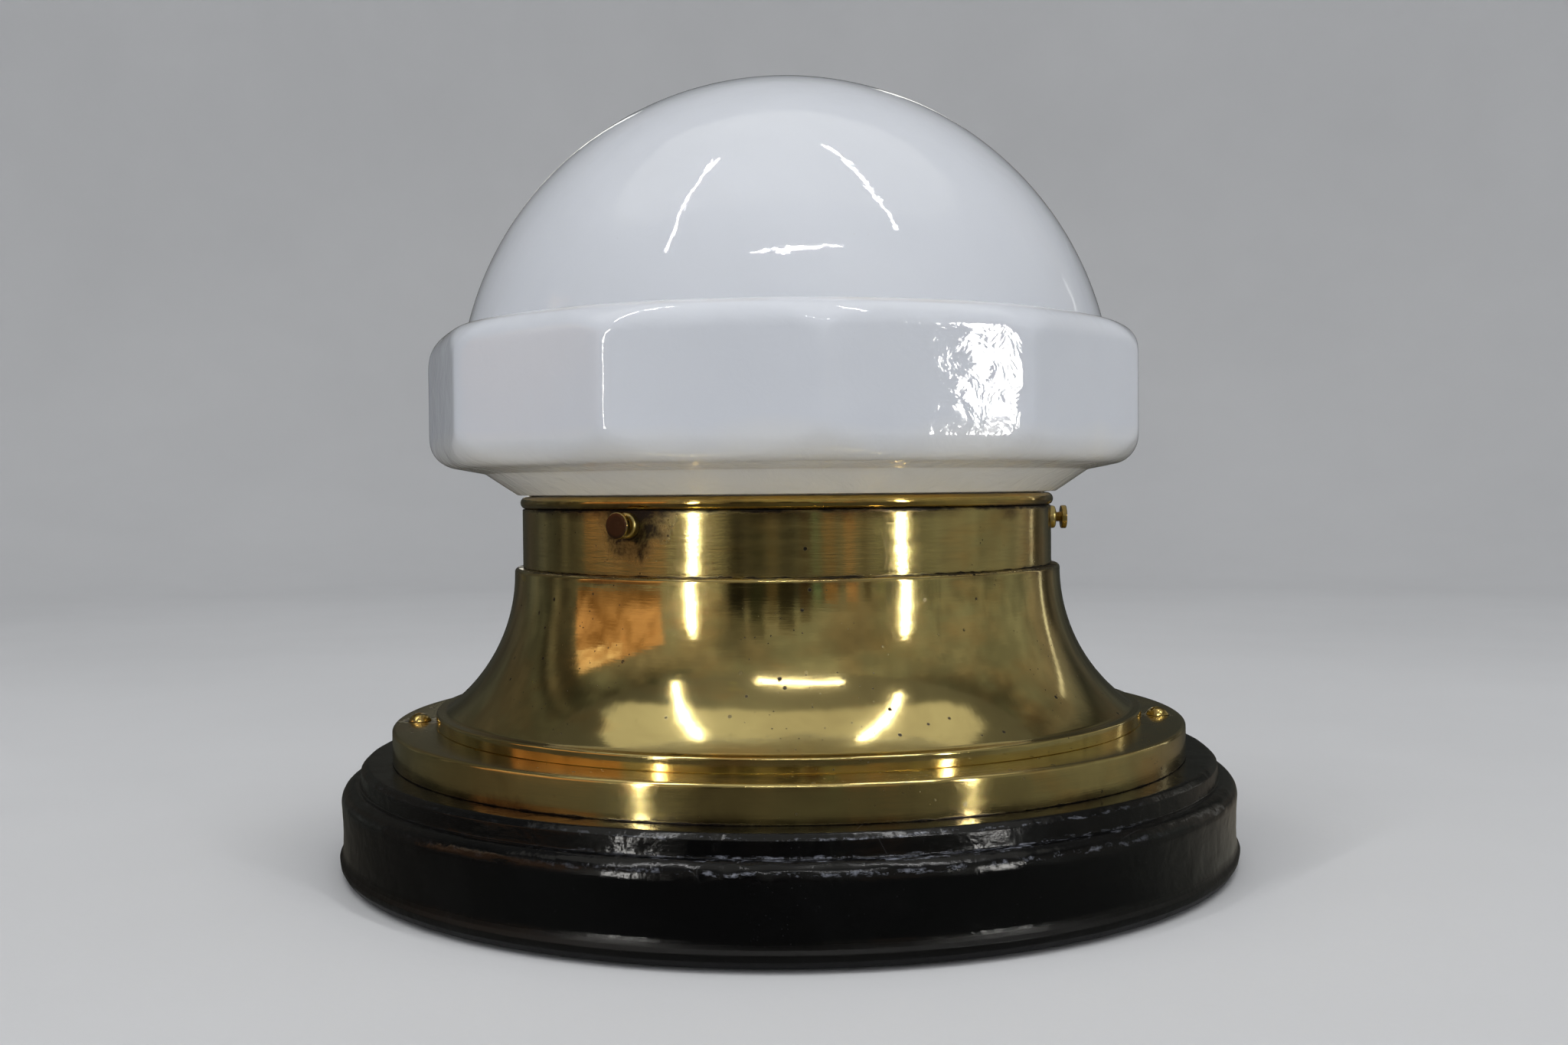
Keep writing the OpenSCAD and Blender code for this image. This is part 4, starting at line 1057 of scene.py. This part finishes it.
def grey_ramp(s, turn, greys):
    """Colour ramp over the azimuth, from (degrees, percent) stops."""
    ramp = s.node("ShaderNodeValToRGB", {0: turn})
    stops = ramp.color_ramp.elements
    while len(stops) < len(greys):
        stops.new(0.5)
    for stop, (degrees, percent) in zip(stops, greys):
        grey = percent / 100
        stop.position = (degrees + 180) / 360
        stop.color = (grey, grey, grey * 0.93, 1)
    return ramp.outputs[0]


def surround_material():
    """Grey of the studio's cards by azimuth and height, seen by reflections alone."""
    s = Shader("surround")
    z = s.height()
    turn = s.turn()
    floor = grey_ramp(s, turn, FLOOR_GREYS)
    colour = s.mix(s.remap(z, 0.004, 0.03), floor, grey_ramp(s, turn, HORIZON_GREYS))
    colour = s.mix(s.remap(z, 0.2, 0.42), colour, grey_ramp(s, turn, WALL_GREYS))
    rising = s.ragged(z, s.noise(2.6, 3, 0.6), 0.22)
    colour = s.mix(s.remap(rising, 0.95, 1.4), colour, grey_ramp(s, turn, RIM_GREYS))
    tints = s.mix(s.remap(s.noise(2.3, 2), 0.4, 0.6), (1.1, 0.98, 0.86), (0.98, 1.02, 0.96))
    colour = s.mix(1, colour, tints, blend="MULTIPLY")
    cloud = s.remap(s.noise(1.7, warp=0.4), 0.3, 0.7, 0.75, 1.2)
    blocks = s.remap(s.noise(7, 2, at=s.stretched(1, 1, 0.8)), 0.38, 0.62, 0.82, 1.2)
    calm = s.remap(z, 0.15, 0.4)
    return s.glow(colour, s.times(cloud, s.larger(blocks, calm)))


def ceiling_material():
    """Light ceiling over the lamp, darker and uneven further out."""
    s = Shader("ceiling")
    x, y, _ = s.xyz()
    reach = s.ragged(s.radius(s.times(x, 0.5), y), s.noise(0.9, 3, 0.6), 0.14)
    outer = grey_ramp(s, s.turn(), CEILING_GREYS)
    return s.glow(s.mix(s.remap(reach, 1.75, 1.92), (0.62, 0.61, 0.55), outer))


def build_surround():
    """Grey cards on the floor, all round and overhead, seen by reflections alone."""
    profile = [(r, 0.0008) for r in (0.1675, 0.6, SURROUND_R)]
    profile += [(SURROUND_R, 0.05 + 0.1 * k) for k in range(15)]
    verts = ring_points(profile, ROUND)
    glossy_only(stage_mesh("surround", verts, ring_faces(len(profile), ROUND), surround_material()))
    lid = ring_points([(4.8, 4.4)], 48)
    glossy_only(stage_mesh("ceiling_card", lid, [tuple(range(48))], ceiling_material()))


def card_material(name, dark, light, scale=5, low_strength=1):
    """A card with an uneven glow between two colours, dimmer near the floor if asked."""
    s = Shader(name)
    patch = s.remap(s.noise(scale, 3, 0.6, warp=1), 0.38, 0.62)
    return s.glow(s.mix(patch, dark, light), s.remap(s.height(), 0.1, 0.34, low_strength, 1))


def card(name, azimuth, distance, low, high, width, material, slant=0):
    """An upright card round the lamp, facing it. slant tips its upper edge."""
    out, side = directions(azimuth)
    verts = []
    for z, tip in ((low, 0), (high, slant)):
        for s in (-0.5, 0.5):
            v = out * distance + side * (s * width)
            verts.append((v.x, v.y, z + tip * s))
    glossy_only(stage_mesh(name, verts, [(0, 1, 3, 2)], material))


def strip_light(name, start, end, width, power, glossy=True):
    """A long thin lamp between two points, facing the middle of the object."""
    a, b = Vector(start), Vector(end)
    middle = (a + b) / 2
    along = (b - a).normalized()
    aim = (Vector((0, 0, 0.12)) - middle).normalized()
    aim = (aim - along * aim.dot(along)).normalized()
    lamp = bpy.data.lights.new(name, "AREA")
    lamp.shape = "RECTANGLE"
    lamp.size = (b - a).length
    lamp.size_y = width
    lamp.energy = power
    obj = add_object(name, lamp)
    m = Matrix((along, -aim.cross(along), -aim)).transposed().to_4x4()
    m.translation = middle
    obj.matrix_world = m
    obj.visible_glossy = glossy


def build_lights():
    strip_light("tube_left", (-0.926, 0.026, TUBE_Z), (-2.792, -2.188, TUBE_Z), 0.045, 22)
    strip_light("tube_right", (0.524, 0.242, TUBE_Z), (2.308, -1.678, TUBE_Z), 0.045, 22)
    strip_light("tube_front", (-0.824, -3.11, TUBE_Z), (1.34, -2.9, TUBE_Z), 0.036, 16)
    for name, low, high, power in (("upright_left", -38.2, -36.4, 2.1), ("upright_right", 46, 43.4, 2.3)):
        start = point_round(low, UPRIGHT_OUT, 0.08)
        end = point_round(high, UPRIGHT_OUT, 0.62)
        strip_light(name, start, end, 0.036, power, glossy=False)
    strip_light("soft_top", (-0.9, -0.3, 2.3), (0.9, -0.3, 2.3), 1.4, 17, glossy=False)


def window_material():
    """Broken bright strip, like a lamp through a torn blind."""
    s = Shader("window_strip")
    z = s.height()
    tears = s.noise(30, 4, 0.7, at=s.stretched(1, 1, 0.5), warp=0.6)
    ends = s.times(s.remap(z, 0, 0.02), s.remap(z, 0.55, 0.66, 1, 0))
    shown = s.times(s.remap(tears, 0.44, 0.52, 0.05, 1), ends)
    return s.glow((1, 0.985, 0.94), s.times(shown, 64))


# Blocks in front of the lamp: azimuth and width in degrees, height in metres, colour
CLUTTER = (
    (-19.5, 5.5, 0.72, (0.006, 0.006, 0.005)),
    (-12, 5.5, 0.74, (0.014, 0.016, 0.011)),
    (-6, 4, 0.5, (0.055, 0.042, 0.026)),
    (-0.5, 6, 0.62, (0.014, 0.013, 0.01)),
    (6.5, 4, 0.5, (0.04, 0.027, 0.018)),
    (11, 3, 0.34, (0.08, 0.13, 0.1)),
    (16.5, 5, 0.28, (0.2, 0.12, 0.065)),
    (24.5, 4.5, 0.36, (0.28, 0.17, 0.1)),
    (30.5, 2.5, 0.26, (0.06, 0.05, 0.035)),
    (36, 3, 0.32, (0.15, 0.16, 0.12)),
)


def clutter_material(number, colour, tall):
    """One block of clutter, lost in the brighter wall towards its top."""
    s = Shader("clutter_%d" % number)
    patch = s.remap(s.noise(14, 3, 0.6, warp=1), 0.38, 0.62)
    block = s.mix(patch, colour, tuple(c * 1.8 for c in colour))
    level = s.ragged(s.height(), s.noise(6, 3, 0.6), 0.14)
    return s.glow(s.mix(s.remap(level, 0.45 * tall, tall, 0, 0.8), block, (0.22, 0.21, 0.17)))


def build_clutter():
    """Dark and coloured blocks, low in front of the lamp, that its brass reflects."""
    for number, (azimuth, wide, tall, colour) in enumerate(CLUTTER):
        material = clutter_material(number, colour, tall)
        width = 2 * CLUTTER_OUT * math.tan(math.radians(wide / 2))
        card("clutter_card_%d" % number, azimuth, CLUTTER_OUT, 0.03, tall, width, material, 0.02)


def build_cards():
    """What the brass and the glass mirror besides the lamps."""
    build_surround()
    build_clutter()
    window = window_material()
    card("window_left", -37.3, WINDOW_OUT, 0.004, 0.66, 0.044, window)
    card("window_right", 45.9, WINDOW_OUT, 0.004, 0.66, 0.046, window)
    warm = card_material("warm_card", (0.34, 0.17, 0.075), (0.78, 0.44, 0.24), 4.5, 0.33)
    card("warm_left", -70, 1.2, 0.08, 0.74, 0.9, warm, -0.14)
    folds = card_material("warm_folds", (0.5, 0.26, 0.11), (1.35, 1, 0.68), 8)
    card("warm_folds", -76, 1.19, 0.56, 0.72, 0.62, folds, -0.14)
    thin = card_material("thin_strip", (0.9, 0.9, 0.85), (1.3, 1.3, 1.2))
    card("thin_right", 123.5, 1.4, 0, 0.75, 0.045, thin)
    soft = card_material("back_strip", (1.2, 1.2, 1.1), (1.7, 1.7, 1.6))
    card("back_left", -166, BACK_OUT, 0.1, 0.9, 0.06, soft)
    card("back_right", 171, BACK_OUT, 0.1, 0.9, 0.06, soft)


def build_world():
    world = bpy.data.worlds.new("world")
    world.use_nodes = True
    back = world.node_tree.nodes["Background"]
    back.inputs["Color"].default_value = (0.93, 0.96, 1, 1)
    back.inputs["Strength"].default_value = 0.21
    bpy.context.scene.world = world


# Place in metres, lens in millimetres, tilt downward and roll in radians
CAMERA_PLACE = (-0.0011, -0.59219, 0.13507)
CAMERA_LENS = 35.438
CAMERA_DOWN = 0.022
CAMERA_ROLL = -0.0089


def build_camera():
    lens = bpy.data.cameras.new("camera")
    lens.lens = CAMERA_LENS
    lens.sensor_width = 36
    lens.clip_start = 0.01
    obj = add_object("camera", lens)
    pitch = Matrix.Rotation(math.pi / 2 - CAMERA_DOWN, 4, "X")
    obj.matrix_world = Matrix.Translation(CAMERA_PLACE) @ pitch @ Matrix.Rotation(CAMERA_ROLL, 4, "Z")
    bpy.context.scene.camera = obj


# Putting it together

build_camera()
build_stage()
build_lights()
build_cards()
build_world()


def round_stains(angles, radius, height, reach):
    """Stained spots as (point, reach) in metres, from millimetres."""
    return [(Vector(point_round(a, radius, height)) * MM, reach * MM) for a in angles]


screw_stains = round_stains(FLANGE_SCREW_ANGLES, FLANGE_SCREW_OUT, FLANGE_TOP, 7.8)
boss_stains = round_stains(THUMB_ANGLES, COLLAR_R, THUMB_Z + 1, 15)

# Seams darkened by dirt and painted shade, as (height, half width) in millimetres
body_seams = [(BODY_TOP - 0.1, 0.3)]
flange_seams = [(PLINTH_TOP + 0.2, 0.45)]
collar_seams = [(COLLAR_TOP + 0.1, 1.3), (BODY_TOP + 0.1, 0.5)]
bead_seams = [(COLLAR_TOP + 0.1, 0.8)]

body_brass = brass("brass_spun", 0.088, 0.4, 1, body_seams, 0.3)
flange_brass = brass("brass_flange", 0.14, 0.6, 0.7, flange_seams, 0.92, screw_stains)
collar_brass = brass("brass_brushed", 0.155, 1, 1, collar_seams, 0.92, boss_stains)
bead_brass = brass("brass_bead", 0.09, 0.2, 0.6, bead_seams, 0.3, tone=(0.66, 0.47, 0.14))
boss_brass = brass("brass_boss", 0.25, 0.1, 1.2)
screw_brass = brass("brass_screws", 0.16, 0, 0.9, tone=(0.55, 0.4, 0.14))
# A darker, browner brass for the thumbscrews' faces
face_brass = brass("brass_dark_face", 0.24, 0, tone=(0.13, 0.075, 0.05), dark=(0.07, 0.045, 0.032))
inner_brass = brass("brass_fittings", 0.2, 0, 0.4, tone=(0.84, 0.62, 0.19), dark=AGED)

build_plinth(black_paint())
build_felt(felt())
build_bush(boss_brass)
build_flange(flange_brass)
build_flange_screws(screw_brass)
build_body(body_brass)
build_collar(collar_brass)
build_cup(bead_brass)
build_bosses(boss_brass)
for index, azimuth in enumerate(THUMB_ANGLES, start=1):
    build_thumbscrew(index, azimuth, screw_brass, face_brass)
build_shade(opal_glass())

# CAD nodes that stay as they are, by material
CARRIED_OVER = (
    (steel(), ("body_screws", "cross_bar", "bar_screws", "nipple", "nipple_nuts", "block_screw")),
    (porcelain(), ("holder_base", "contact_block", "holder_skirt", "terminal_block")),
    (inner_brass, ("centre_contact", "screw_shell", "terminal_screws", "bulb_cap")),
    (clear_glass(), ("bulb_glass", "bulb_stem")),
    (fibre(), ("screw_tip_1", "screw_tip_2", "screw_tip_3")),
    (cork(), ("seat_ring",)),
    (black_glass(), ("bulb_insulator",)),
    (solder(), ("bulb_contact",)),
    (tungsten(), ("filament",)),
    (insulation("insulation_brown", (0.2, 0.07, 0.035), (0.26, 0.1, 0.05)), ("lead_live",)),
    (insulation("insulation_black", (0.02, 0.02, 0.022), (0.04, 0.04, 0.042)), ("lead_neutral",)),
)


def dress_node(node, material):
    """Gives a carried-over CAD node its material."""
    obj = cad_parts[node]
    if not obj.material_slots:
        obj.data.materials.append(material)
    for slot in obj.material_slots:
        slot.material = material


for material, nodes in CARRIED_OVER:
    for node in nodes:
        dress_node(node, material)

bpy.context.scene.view_settings.view_transform = "Standard"
